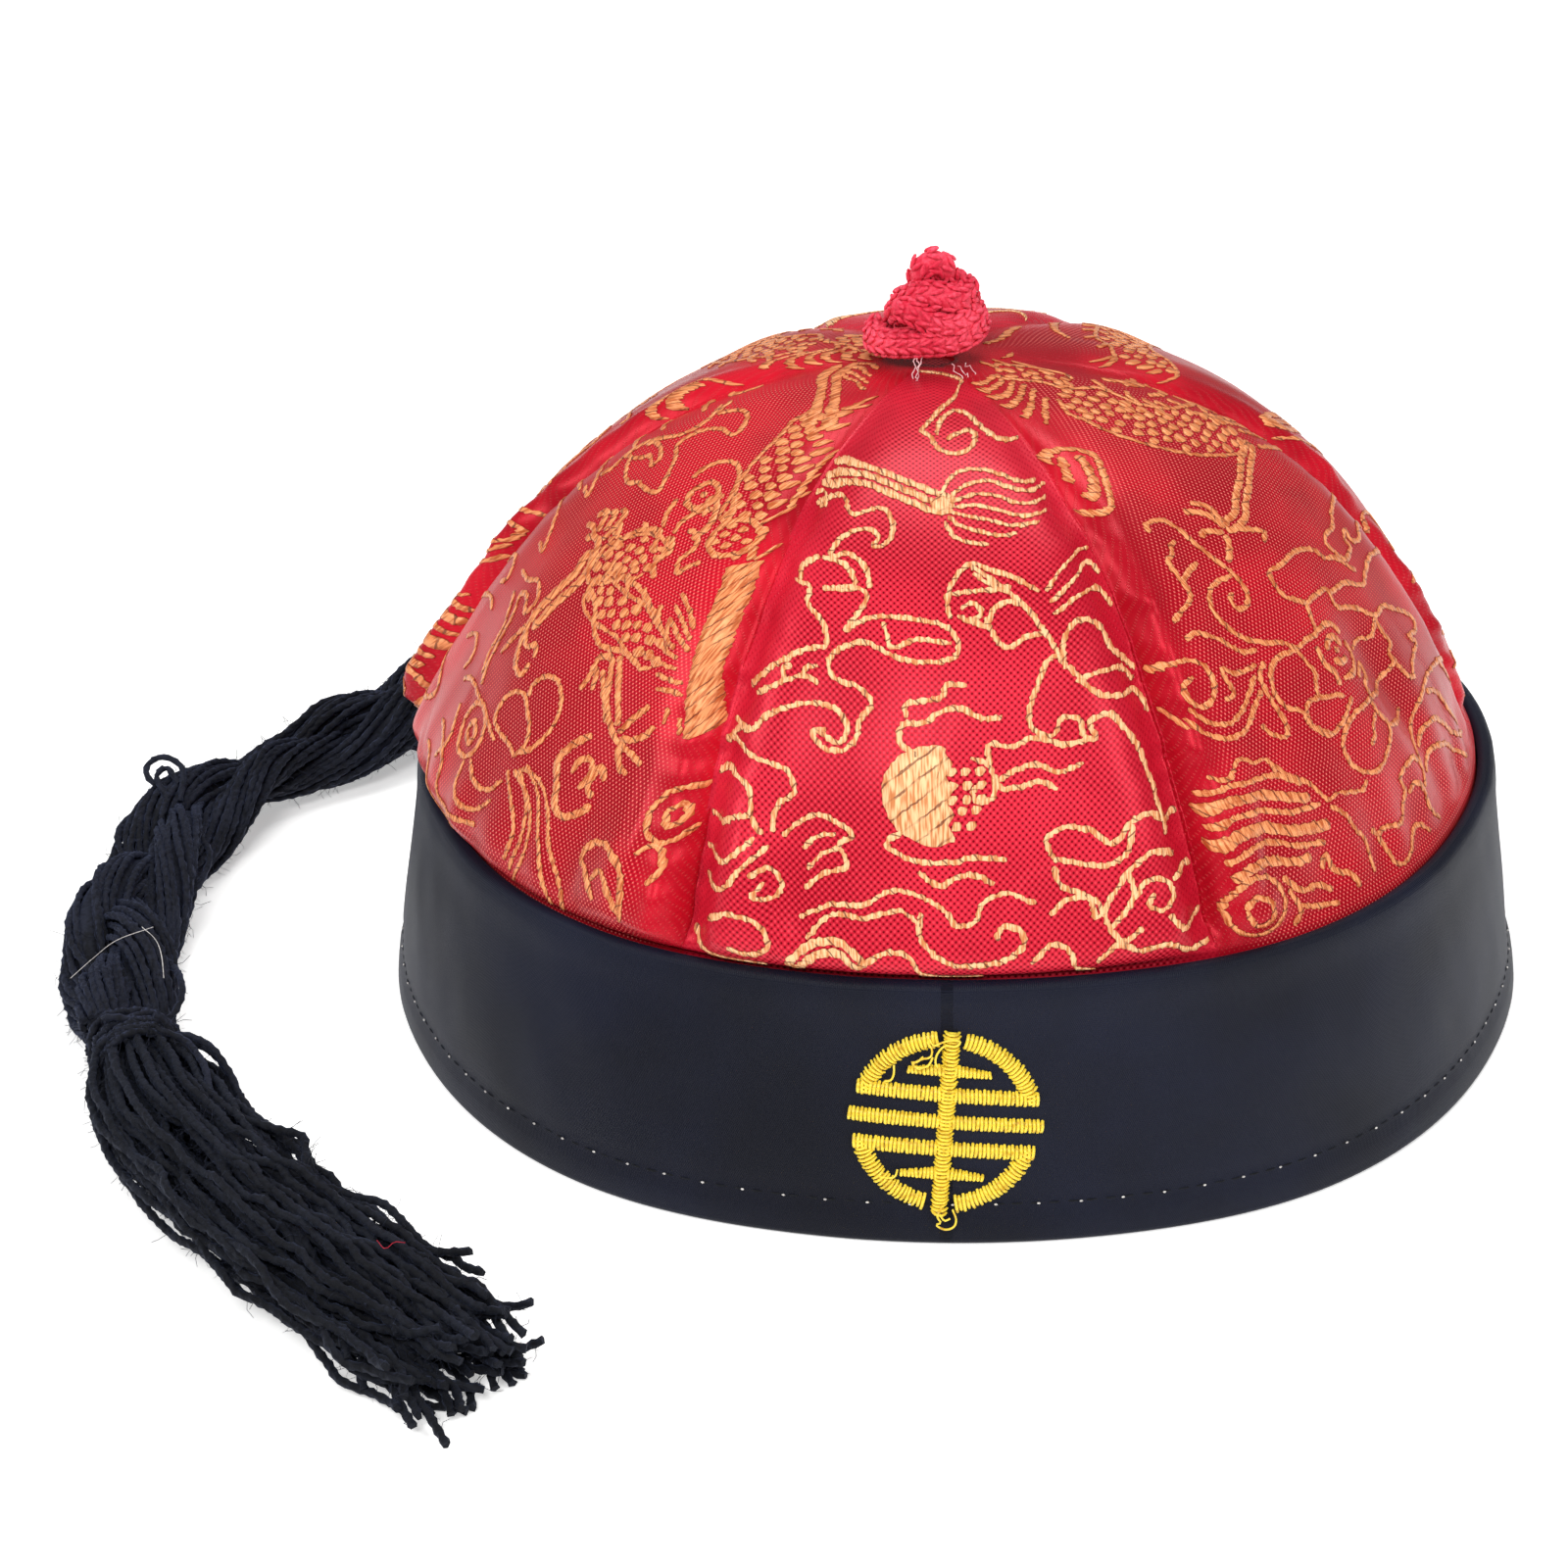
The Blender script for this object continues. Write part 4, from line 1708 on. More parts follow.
def fuzz_tree() -> Tree:
    """Builds the tree that grows stray fibres out of a surface, seeded by an input."""
    tree = Tree("fuzz", Density="Float", Seed="Int", Object="Object")
    seed = tree.entry["Seed"]
    inputs = {"Mesh": tree.entry[0], "Density": tree.entry["Density"], "Seed": seed}
    points = tree.add("GeometryNodeDistributePointsOnFaces", inputs)
    inputs = {"Min": (-0.9, -0.9, 0), "Max": (0.9, 0.9, 6.28), "Seed": seed}
    lean = tree.add("FunctionNodeRandomValue", inputs, data_type="FLOAT_VECTOR")
    inputs = {"Rotation": points.outputs["Rotation"], "Rotate By": lean}
    turn = tree.add("FunctionNodeRotateRotation", inputs, rotation_space="LOCAL")
    size = tree.add("FunctionNodeRandomValue", {2: 0.5, 3: 1.5, "Seed": seed}, data_type="FLOAT")
    return tree.copies(points, turn, size.outputs[1])


def spin(
    tree: Tree,
    name: str,
    lines: list[Points],
    finish: bpy.types.Material,
    radius: float,
    sides: int = 6,
    flatness: float = 1.0,
    pitch: float = 0.0,
    radii: list[Points] | None = None,
) -> bpy.types.Object:
    """Spins lines into threads.

    Args:
        tree: the thread tree.
        name: the new object's name.
        lines: each thread's line, in millimetres.
        finish: the thread's material.
        radius: the thread's radius in millimetres.
        sides: the sides of its section.
        flatness: the section's second width as a share of its first.
        pitch: length of one whole twist in millimetres, or 0 for none.
        radii: radius factors along each line.

    Returns:
        One mesh object of all the threads.
    """
    values = {
        "Radius": radius * MM,
        "Sides": sides,
        "Flatness": flatness,
        "Twist": math.tau / (pitch * MM) if pitch else 0.0,
        "Material": finish,
    }
    return tree.bake(curve_holder(name + "_lines", lines, radii), values, name)


@dataclass
class Band:
    """The turned-up satin band, its hem and the machine stitching near its lower edge."""

    form: CapForm = CapForm()
    turns: int = 300
    edge: float = 1.1
    hem_height: float = 6.5
    stitch_pitch: float = 2.9
    stitch_sink: float = 0.34
    stitch_pucker: float = 0.12
    slack: float = 0.22
    drag: float = 0.05

    def section(self) -> Points:
        """Returns the band's section, walked once round from the inner foot: inset and height."""
        wall, top, e = self.form.band_wall, self.form.band_height, self.edge
        outer = np.column_stack([np.zeros(26), np.linspace(e, top - e, 26)])
        angle = np.linspace(0, math.pi, 8)
        half = wall / 2
        crest = np.column_stack([-half + half * np.cos(angle), top - e + e * np.sin(angle)])
        inner = np.column_stack([np.full(9, -wall), np.linspace(top - e, e, 9)])
        sole = np.column_stack([-half - half * np.cos(angle), e - e * np.sin(angle)])
        return np.vstack([outer, crest[1:], inner[1:], sole[1:-1]])

    def ripple(self, azimuth: Points, z: Points) -> Points:
        """Returns how the satin stands off its stiff strip: slack, drag lines and the sewn hem."""
        turn = np.radians(azimuth)
        ring = (np.cos(turn) * self.form.rim_radius, np.sin(turn) * self.form.rim_radius)
        slack = self.slack * Crumple(21, 30, 90).at(*ring, z * 1.5)
        drag = self.drag * Crumple(22, 6, 16).at(*ring, z * 0.6)
        pucker = 0.5 + 0.5 * np.cos(math.pi * turn * self.form.rim_radius / self.stitch_pitch)
        sewn = bell(z - self.hem_height, 1.1) * (self.stitch_sink + self.stitch_pucker * pucker)
        hem = Ridge(0.25, self.hem_height / 2, 3).over(z) - sewn
        top = Ridge(0.35, self.form.band_height - 2.5, 3).over(z)
        return (slack + drag) * np.clip(z / 8, 0, 1) + hem + top

    def face_point(self, azimuth: Points, z: Points, out: Points | float = 0.0) -> Points:
        """Gives points on or over the band's outer face."""
        radius = self.form.band_outer(azimuth, z) + self.ripple(azimuth, z) + out
        return round_axis(radius, azimuth, z)

    def build(self, threads: Tree, march: Tree) -> None:
        """Makes the band and its stitching."""
        section = self.section()
        azimuth = np.repeat(np.arange(self.turns) * 360 / self.turns, len(section))
        inset, z = np.tile(section[:, 0], self.turns), np.tile(section[:, 1], self.turns)
        outside = np.clip(1 + inset / self.form.band_wall, 0, 1)
        radius = self.form.band_outer(azimuth, z) + inset + self.ripple(azimuth, z) * outside
        points = round_axis(radius, azimuth, z)
        grid = np.arange(len(points)).reshape(self.turns, -1).T
        faces = quads(np.pad(grid, ((0, 1), (0, 1)), "wrap"))
        cloth = np.stack([np.radians(azimuth) * self.form.rim_radius, z + inset], axis=1)
        band = mesh_piece("band_cover", points, faces, BandSatin().material(), cloth=cloth)
        settle(band, Slot.SATIN, "band")
        self.stitches(threads, march)

    def stitches(self, threads: Tree, march: Tree) -> None:
        """Sews the row: a sunken dark thread, and a pale speck of the under thread at every other hole."""
        azimuth = np.linspace(0, 360, 720)
        row = self.face_point(azimuth, np.full_like(azimuth, self.hem_height), 0.3)
        count = round(math.tau * self.form.rim_radius / self.stitch_pitch)
        arch = np.array([-0.15, 0.1, 0.16, 0.1, -0.15])
        spans = [np.linspace(i, i + 0.86, 5) * 360 / count for i in range(count)]
        lines = [self.face_point(span, np.full(5, self.hem_height), arch) for span in spans]
        sewn = spin(threads, "band_stitches", lines, SEWING_THREAD.material(), 0.17, 5)
        settle(sewn, Slot.SATIN)
        speck = mesh_piece("speck", *bead(0.28, 0.17), None)
        values = {"Pitch": 2.2 * self.stitch_pitch * MM, "Object": speck, "Material": PALE_LINT.material()}
        dots = march.bake(curve_holder("speck_row", [row]), values, "band_stitch_specks")
        bpy.data.objects.remove(speck)
        settle(dots, Slot.SATIN)


def bead(length: float, width: float, sides: int = 6) -> tuple[Points, list]:
    """Makes a small closed grain that points along Z.

    Args:
        length: half its length.
        width: its radius.
        sides: the sides of its section.

    Returns:
        Its points and faces.
    """
    angle = np.arange(sides) * math.tau / sides
    circle = np.column_stack([np.cos(angle), np.sin(angle), np.ones(sides)])
    profile = ((-0.75, 0.62), (0, 1.0), (0.75, 0.62))
    rings = [circle * (width * share, width * share, at * length) for at, share in profile]
    points = np.vstack([(0, 0, -length), *rings, (0, 0, length)])
    number = 1 + np.arange(len(rings) * sides).reshape(-1, sides)
    number = np.hstack([number, number[:, :1]])
    tip = len(points) - 1
    faces = [[0, number[0, k + 1], number[0, k]] for k in range(sides)] + quads(number).tolist()
    return points, faces + [[number[-1, k], number[-1, k + 1], tip] for k in range(sides)]


@dataclass
class Roundel:
    """The longevity roundel: bars and arcs of satin stitch over a low padding."""

    band: Band
    radius: float = 14.3
    height: float = 19.7
    side: float = -1.1
    turn: float = -4.0
    line: float = 2.35
    bar_step: float = 4.3
    tick_step: float = 8.2
    stitch_pitch: float = 0.6
    stitch_radius: float = 0.255
    puff: float = 0.8
    # How square a stitch arches over its padding, and how deep its ends and the padding sink
    fullness: float = 3.2
    bite: float = 0.12
    bedding: float = 0.1

    def on_band(self, side: Points, height: Points, out: Points) -> Points:
        """Lays places of the roundel's own plane over the band, at a distance out from it."""
        t = math.radians(self.turn)
        along = self.side + side * math.cos(t) - height * math.sin(t)
        z = self.height + side * math.sin(t) + height * math.cos(t)
        azimuth = np.degrees(along / self.band.form.band_outer(np.zeros_like(z), z))
        return self.band.face_point(azimuth, z, out)

    def strokes(self) -> list[tuple[Points, Points]]:
        """Returns each stroke's middle line in the roundel's plane, and its width at each point."""
        r, line = self.radius, self.line
        found = []

        def bar(x0: float, y0: float, x1: float, y1: float, w0: float, w1: float) -> None:
            """Adds a straight stroke."""
            middle = even(np.array([[x0, y0], [x1, y1]], float), self.stitch_pitch)
            found.append((middle, np.linspace(w0, w1, len(middle)) * line))

        def arc(start: float, end: float) -> None:
            """Adds a stroke round the rim, from its pointed end at a bar to its tip."""
            a = np.radians(np.linspace(start, end, 60))
            middle = even(np.column_stack([np.cos(a), np.sin(a)]) * (r - line / 2), self.stitch_pitch)
            share = np.linspace(0, 1, len(middle))
            found.append((middle, line * np.interp(share, [0, 0.12, 1], [0.5, 1, 1])))

        for side in (-1, 1):
            y, tick = side * self.bar_step, side * self.tick_step
            bar(-r * 0.93, y, r * 0.93, y, 0.86, 0.86)
            bar(-0.9, tick, -6.0, tick - 0.3, 0.72, 0.3)
            bar(0.9, tick, 6.0, tick - 0.3, 0.72, 0.3)
            start, end = (17.5, 80.5) if side > 0 else (342.5, 281)
            arc(start, end)
            arc(180 - start, 180 - end)
        bar(-r, 0, r, 0, 0.8, 0.8)
        bar(0, -r, 0, r, 0.9, 0.94)
        return found

    def build(self, threads: Tree) -> None:
        """Makes the padding, the stitches over it and the loose thread loops."""
        rng = np.random.default_rng(31)
        finish = EmbroideryRayon().material()
        lines, pads = [], []
        shares = np.linspace(-1, 1, 9)
        strokes = self.strokes()
        for number, (middle, width) in enumerate(strokes):
            _, aside = beside(middle)
            # The last stroke, the upright bar, is sewn over the others
            crest = self.puff + (0.25 if number == len(strokes) - 1 else 0)
            for turn, (place, side, wide) in enumerate(zip(middle, aside, width)):
                reach = wide / 2 * (0.97 + 0.13 * (turn % 2) + rng.uniform(-0.03, 0.05))
                slant = rng.uniform(-0.12, 0.12)
                leaning = side * reach + np.array([side[1], -side[0]]) * slant
                flat = place + np.outer(shares, leaning)
                rise = crest * (1 - np.abs(shares) ** self.fullness) - self.bite
                lines.append(self.on_band(*flat.T, rise))
            pads.append((middle, aside, width, crest))
        loose = spin(threads, "roundel_loops", self.loops(), finish, 0.17, 5)
        settle(loose, Slot.EMBROIDERY)
        stitches = spin(threads, "roundel_stitches", lines, finish, self.stitch_radius, 6, 0.8)
        settle(stitches, Slot.EMBROIDERY, "roundel")
        settle(self.padding(pads, finish), Slot.EMBROIDERY)

    def loops(self) -> list[Points]:
        """Returns the loose ends of thread that stand off the roundel, upper left and below."""
        drawn = (
            ((-3.4, 13.4, 0.6), (-2.6, 12.6, 1.2), (-1.6, 13.2, 1.4), (-0.4, 13.7, 1.4), (1.2, 13.6, 1.3),
             (0.6, 12.8, 1.3), (-0.9, 12.9, 1.5), (-1.9, 11.6, 1.3), (-2.2, 10.2, 1.2), (-1.8, 8.9, 0.8)),
            ((-3.6, 12.8, 0.6), (-2.8, 11.9, 1.3), (-3.0, 10.9, 1.5), (-4.2, 10.4, 1.4), (-5.4, 9.3, 1.2),
             (-4.4, 9.0, 1.3), (-3.2, 9.5, 1.4), (-2.6, 10.6, 0.9)),
            ((-4.0, 10.6, 1.0), (-4.9, 9.8, 1.3), (-5.6, 9.6, 1.1), (-4.6, 8.7, 1.2), (-3.4, 9.2, 1.0)),
            ((-8.2, 8.6, 0.6), (-8.1, 7.4, 1.3), (-8.5, 6.5, 1.3), (-9.4, 6.1, 1.0), (-9.0, 5.4, 0.6)),
            ((0.3, -13.4, 0.8), (-0.2, -14.4, 1.2), (0.4, -15.2, 1.2), (-0.3, -15.6, 1.1),
             (1.1, -16.3, 1.0), (2.3, -15.8, 1.0), (2.6, -14.6, 1.1), (2.0, -13.6, 0.6)),
            ((0.1, -14.2, 0.9), (0.9, -14.8, 1.3), (1.7, -14.5, 1.2)),
            ((-6.6, -7.8, 0.6), (-6.9, -8.8, 1.0), (-8.2, -9.2, 0.8), (-9.4, -9.3, 0.5)),
        )
        return [self.on_band(*smooth_route(loop, 0.4).T) for loop in drawn]

    def padding(self, pads: list, finish: bpy.types.Material) -> bpy.types.Object:
        """Makes the low closed padding under the stitches."""
        shares = np.array([-0.84, -0.62, 0, 0.62, 0.84])
        points, faces, total = [], [], 0
        for middle, aside, width, crest in pads:
            for share, height in zip(shares, (-0.4, 0.35, 0.6, 0.35, -0.4)):
                place = middle + aside * (share * width / 2)[:, None]
                points.append(self.on_band(*place.T, np.full(len(middle), crest * height - self.bedding)))
            number = total + np.arange(len(shares) * len(middle)).reshape(len(shares), -1)
            faces += lofted(number)
            total += number.size
        return mesh_piece("roundel_padding", np.vstack(points), faces, finish)


KNOT_ROUTE = (
    (-8.8, 3, 4.3), (-9.1, 0, 3.4), (-7.0, -3.4, 3.8), (-2.1, -5.4, 4.5), (2.9, -5.2, 4.9),
    (5.6, -3.6, 5.8), (6.6, 0, 6.4), (4.2, 4.4, 6.5), (-1.6, 5.0, 6.5), (-5.2, 2.6, 6.9),
    (-5.5, -1, 8.4), (-4.8, -3.6, 9.8), (-2.1, -5.2, 9.1), (1.3, -5.4, 7.6), (4.2, -4.6, 7.5),
    (5.8, -1.6, 8.4), (4.2, 3, 8.6), (-0.2, 4.4, 8.9), (-3.7, 2.6, 9.3), (-4.6, -1, 10.0),
    (-1.6, -4.0, 12.0), (1.3, -4.9, 12.0), (3.7, -3.8, 11.2), (4.9, -1, 11.4), (4.0, 2.2, 11.5),
    (1.4, 2.8, 11.9), (-1.3, 1.4, 12.4), (-1.9, -0.6, 13.6), (-1.9, -1.2, 15.0), (-1.2, -1.3, 16.1),
    (-0.1, -1.2, 16.5), (0.9, -0.8, 16.0), (1.6, -0.4, 14.8), (1.5, 0.4, 13.2), (0.5, 1.2, 11.3),
)


@dataclass
class ButtonKnot:
    """The tied button: knitted cord with its columns of small V stitches."""

    form: CapForm = CapForm()
    core: float = 1.85
    face: float = 2.1
    wales: int = 5
    row_pitch: float = 1.7
    leg_length: float = 1.22
    leg_radius: float = 0.47
    lean: float = 24.0
    overlap: float = 6.0

    def line(self, step: float) -> Points:
        """Returns the cord's middle line on the crown's eye."""
        return smooth_route(np.array(KNOT_ROUTE) + self.form.eye, step)

    def ring(self) -> bpy.types.Object:
        """Makes one row of V stitches round the cord, which runs along Z."""
        points, faces = bead(self.leg_length, self.leg_radius, 6)
        all_points, all_faces = [], []
        for wale in range(self.wales):
            for side in (-1, 1):
                centre = 360 * (wale + 0.5 + side * 0.25) / self.wales
                leaned = Matrix.Rotation(math.radians(side * self.lean), 3, "X")
                leaned = leaned @ Matrix.Rotation(math.radians(self.overlap), 3, "Y")
                turned_about = Matrix.Rotation(math.radians(centre), 3, "Z")
                placed = np.array(leaned) @ (points * (0.85, 1, 1)).T + [[self.face], [0], [0]]
                first = len(all_points) * len(points)
                all_faces += [[first + k for k in face] for face in faces]
                all_points.append((np.array(turned_about) @ placed).T)
        return mesh_piece("v_row", np.vstack(all_points), all_faces, None)

    def build(self, threads: Tree, march: Tree) -> None:
        """Makes the cord's core, its stitches and the tacking thread at its foot."""
        finish = KNITTED_CORD.material()
        line = self.line(0.7)
        core = spin(threads, "button_core", [line], finish, self.core, 12)
        settle(core, Slot.CORD, "button_knot")
        ring = self.ring()
        values = {"Pitch": self.row_pitch * MM, "Object": ring, "Material": finish}
        knit = march.bake(curve_holder("knit_line", [self.line(0.25)]), values, "button_stitches")
        bpy.data.objects.remove(ring)
        settle(knit, Slot.CORD)
        settle(spin(threads, "button_tacks", self.tacks(), TACK_THREAD.material(), 0.1, 4), Slot.CORD)

    def tacks(self) -> list[Points]:
        """Returns the tacking stitches that hold the button to the crown."""
        rng = np.random.default_rng(41)
        found = []
        for azimuth, tall in ((-22, 3.6), (-19, 2.8), (-16, 3.2), (24, 1.3), (33, 1.0), (42, 1.2)):
            turn = math.radians(azimuth)
            out = np.array([math.sin(turn), -math.cos(turn), 0])
            points = [out * 7.0 + (0, 0, tall), out * 7.9 + (0, 0, tall * 0.6), out * 8.6 + (0, 0, 0.3)]
            points.append(out * 10.4 + (rng.uniform(-1.6, 1.6), 0, -0.5))
            line = smooth_route(self.form.eye + np.array(points), 0.4)
            found.append(line + np.column_stack([wander(rng, len(line), 9) * 0.4 for _ in range(3)]))
        return found


QUEUE_ROUTE = (
    (0, 94.4), (-0.8, 99.5), (-6, 106), (-18, 109.8), (-33, 109.5), (-50, 107), (-66, 101.5),
    (-81, 94), (-93, 85.5), (-103, 76), (-112, 65.5), (-121, 55.5), (-129.5, 45.5), (-136, 32.5),
    (-139.6, 17), (-140.8, 0.5), (-140.2, -16), (-137.6, -32), (-133.4, -46),
)
TASSEL_ROUTE = (
    (-124.6, -66, 8), (-115, -82, 8.4), (-102.5, -97.5, 8.2), (-89, -111, 7.2),
    (-75.5, -123.5, 6), (-63.5, -134, 5),
)

# Three texts of drawn yarns. Each row is a yarn, in places with an x, a y and a z in turn.
# The first yarns stand off the plait beside its crossings
STRAY_LOOPS = """
-139 30 13  -143.8 30.7 16  -144.8 34.3 17  -143.1 35.4 18  -140.1 34.6 18  -138.1 32.7 17  -138 28 13
-140 27 14  -142.6 31.4 16.5  -141.2 33.4 17  -138.6 31 15
-131 -27 12  -128.6 -29.8 12  -125.4 -38 13  -125.1 -41.7 12  -126 -44.4 11  -129 -45 9
-134 20 11  -130.5 14 10  -131 6 8  -133 2 7
-126 -53 12  -121.5 -54.1 13  -116.9 -58 13  -113.2 -62.9 11  -110.8 -67.9 9  -107 -76 8
-131 -50 14  -126.6 -55.4 15.2  -121 -58.4 14.6  -117 -64.6 14  -114 -74 13
-136 -52 12  -133.5 -57.4 13.4  -131.6 -63 13.6  -129 -70 12.5
-126 -50 10  -120 -53.6 11  -114.6 -60 10.5  -112 -68 8.5  -110 -78 8
"""
# Pale hairs on the plait's last crossing
LINT_HAIRS = """
-140.6 -49 20.5  -138.1 -43.5 21  -135.6 -37.7 21  -130.8 -31.2 20
-132.2 -33 21  -129.5 -36.1 20.5  -127.6 -40.7 20  -126.7 -44.5 18
"""
# Tassel yarns that reach past the others
LONG_ENDS = """
-82 -120 5  -79.2 -128 4  -78.6 -133.2 3  -76.9 -137.8 2.5  -74.9 -141.4 2
-81 -122 5  -77.1 -130.3 4  -75.2 -135.4 3  -72.4 -140.4 2.5  -69.7 -145.5 2
-86 -118 5  -83.5 -124.5 4  -83.9 -129.5 3  -82.8 -133 2
"""


def read_routes(rows: str) -> list[Points]:
    """Returns the smooth lines through the places of each row."""
    routes = [np.array(row.split(), float).reshape(-1, 3) for row in rows.strip().split("\n")]
    return [smooth_route(route, 1.0) for route in routes]


@dataclass
class Queue:
    """The false queue: three loose strands of black yarn, plaited, bound and left open as a tassel."""

    middle_height: float = 7.9
    rise: float = 3.6
    cycle: float = 112.0
    phase: float = 20.0
    yarns: int = 20
    # How often a yarn winds round its strand, and how it strays, in radians round it and in millimetres
    yarn_turns: float = 2.6
    yarn_sway: float = 0.36
    yarn_slack: float = 0.6
    yarn_radius: float = 0.76
    tassel_radius: float = 0.82
    twist: float = 4.6
    width: float = 20.0
    # The binding's turns, where they start past the plait, their pitch and their radius
    winds: int = 9
    wind_start: float = 5.6
    wind_pitch: float = 0.86
    wind_radius: float = 7.0
    tassel_yarns: int = 88
    # Stray fibres for each square metre of the yarns' faces
    fuzz_density: float = 100000.0
    # The tassel's half width and half height, each at shares of its length
    spread: tuple = (
        (0, 5.6), (0.05, 7.5), (0.15, 11.2), (0.32, 12.2), (0.65, 12.4), (0.85, 12.8), (1, 11),
    )
    heap: tuple = ((0, 5.6), (0.05, 6.5), (0.16, 7.6), (0.35, 7.6), (0.7, 6.6), (1, 5))
    # Half the plait's width along its run: full at the cap, drawn in at the first crossing
    runs: tuple = (0, 20, 100, 120, 132, 147, 158, 175, 207, 238, 250, 258)
    halves: tuple = (9, 10.5, 12, 11.8, 9.8, 6.6, 7.8, 9.2, 9.9, 10.4, 9.2, 7.6)

    def middle(self, step: float) -> Points:
        """Returns the plait's middle line."""
        route = [(x, y, self.middle_height) for x, y in QUEUE_ROUTE]
        return smooth_route(route, step)

    def strand(self, middle: Points, number: int) -> tuple[Points, Points, Points, Points]:
        """Follows one strand of the plait.

        Args:
            middle: the plait's middle line.
            number: which of the three strands.

        Returns:
            The strand's line, the directions aside and up from it, and its own radius.
        """
        run = length_along(middle)
        half = np.interp(run, self.runs, self.halves)
        angle = np.radians(360 * (run / self.cycle + number / 3) + self.phase)
        ahead = unit(np.gradient(middle, axis=0))
        aside = np.stack([-ahead[:, 1], ahead[:, 0], np.zeros(len(ahead))], axis=1)
        line = middle + aside * (0.52 * half * np.sin(angle))[:, None]
        line[:, 2] += self.rise * half / 10 * np.sin(2 * angle)
        ahead = unit(np.gradient(line, axis=0))
        aside = unit(np.cross(ahead, [0, 0, 1]))
        return line, aside, np.cross(aside, ahead), 0.48 * half

    def plait_lines(self) -> list[Points]:
        """Returns the yarns that cover the three strands."""
        rng = np.random.default_rng(51)
        middle = self.middle(1.1)
        found = []
        for number in range(3):
            line, aside, up, radius = self.strand(middle, number)
            run = np.linspace(0, 1, len(line))
            for k in range(self.yarns):
                sway = self.yarn_sway * wander(rng, len(line), 14)
                angle = math.tau * (k / self.yarns + self.yarn_turns * run) + sway
                out = radius - self.yarn_radius + self.yarn_slack * wander(rng, len(line), 26)
                yarn = line + aside * (out * np.cos(angle))[:, None] + up * (out * np.sin(angle))[:, None]
                yarn[:, 2] = np.maximum(yarn[:, 2], self.yarn_radius)
                found.append(yarn)
        return found

    def core_lines(self) -> tuple[list[Points], list[Points]]:
        """Returns the strands' inner lines and their radii in millimetres."""
        middle = self.middle(3.0)
        strands = [self.strand(middle, number) for number in range(3)]
        inner = [np.clip(radius - 1.5, 0.6, line[:, 2] - 0.3) for line, _, _, radius in strands]
        return [line for line, _, _, _ in strands], inner

    def strays(self) -> list[Points]:
        """Returns the yarns that stand off the plait in loops, seen beside its crossings."""
        return read_routes(STRAY_LOOPS)

    def past(self, distance: float) -> Points:
        """Returns the point past the plait's end towards the tassel, at the binding's height."""
        end = np.array([*QUEUE_ROUTE[-1], 8.4])
        ahead = unit(np.array([*TASSEL_ROUTE[0][:2], 8.4]) - end)
        return end + ahead * distance

    def binding_lines(self) -> list[Points]:
        """Returns the yarn wound round the end of the plait."""
        ahead = unit(self.past(1) - self.past(0))
        aside = np.array([ahead[1], -ahead[0], 0.0])
        rng = np.random.default_rng(53)
        found = []
        for wind in range(self.winds):
            centre = self.past(self.wind_start + self.wind_pitch * wind)
            turn = np.linspace(0, math.tau * 1.03, 64) + wind
            reach = self.wind_radius + 0.3 * math.sin(wind * 1.9) + 0.7 * wander(rng, 64, 12)
            ring = centre + np.outer(np.cos(turn) * reach, aside) + np.outer(np.sin(turn) * reach, (0, 0, 1))
            slide = np.linspace(-0.5, 0.5, 64) * rng.uniform(-5.0, 6.0) + 1.1 * wander(rng, 64, 9)
            ring = ring + np.outer(slide, ahead)
            ring[:, 2] = np.maximum(ring[:, 2], self.yarn_radius)
            found.append(ring)
        return found

    def tassel_lines(self) -> list[Points]:
        """Returns the loose yarns beyond the binding, with their uneven, curling ends."""
        rng = np.random.default_rng(52)
        middle = smooth_route(np.vstack([self.past(3.0), TASSEL_ROUTE]), 1.0)
        length = len(middle)
        run_all = np.linspace(0, 1, length)
        ahead = unit(np.gradient(middle, axis=0))
        aside = unit(np.cross(ahead, [0, 0, 1]))
        wide, tall = (np.interp(run_all, *zip(*shape)) for shape in (self.spread, self.heap))
        found = []
        for k in range(self.tassel_yarns):
            share = math.sqrt((k + 0.5) / self.tassel_yarns)
            angle = k * GOLDEN_ANGLE + rng.uniform(-0.2, 0.2)
            across, high = share * math.cos(angle), share * math.sin(angle)
            count = int(length * (1 - 0.05 * across**2 - 0.16 * rng.random() ** 1.6))
            keep = slice(0, count)
            run = run_all[keep]
            free = np.clip((run - 0.05) * 2.4, 0, 1)
            drift = wander(rng, count, 8) * 1.9 * free + wander(rng, count, 26) * 0.6 * free
            lift = wander(rng, count, 9) * 1.1 * free + wander(rng, count, 26) * 0.5 * free
            curl = np.clip((run - run[-1] + 0.1) / 0.1, 0, 1) ** 2
            drift = drift + curl * rng.uniform(-4.5, 4.5)
            lift = lift + curl * rng.uniform(-2, 3.5)
            yarn = middle[keep] + aside[keep] * (across * wide[keep] + drift)[:, None]
            yarn[:, 2] = yarn[:, 2] + high * tall[keep] + lift - 0.8 * run
            yarn[:, 2] = np.maximum(yarn[:, 2], self.yarn_radius)
            found.append(yarn)
        return found + read_routes(LONG_ENDS)

    def lint_lines(self) -> list[Points]:
        """Returns the pale hairs caught on the plait's last crossing."""
        return read_routes(LINT_HAIRS)

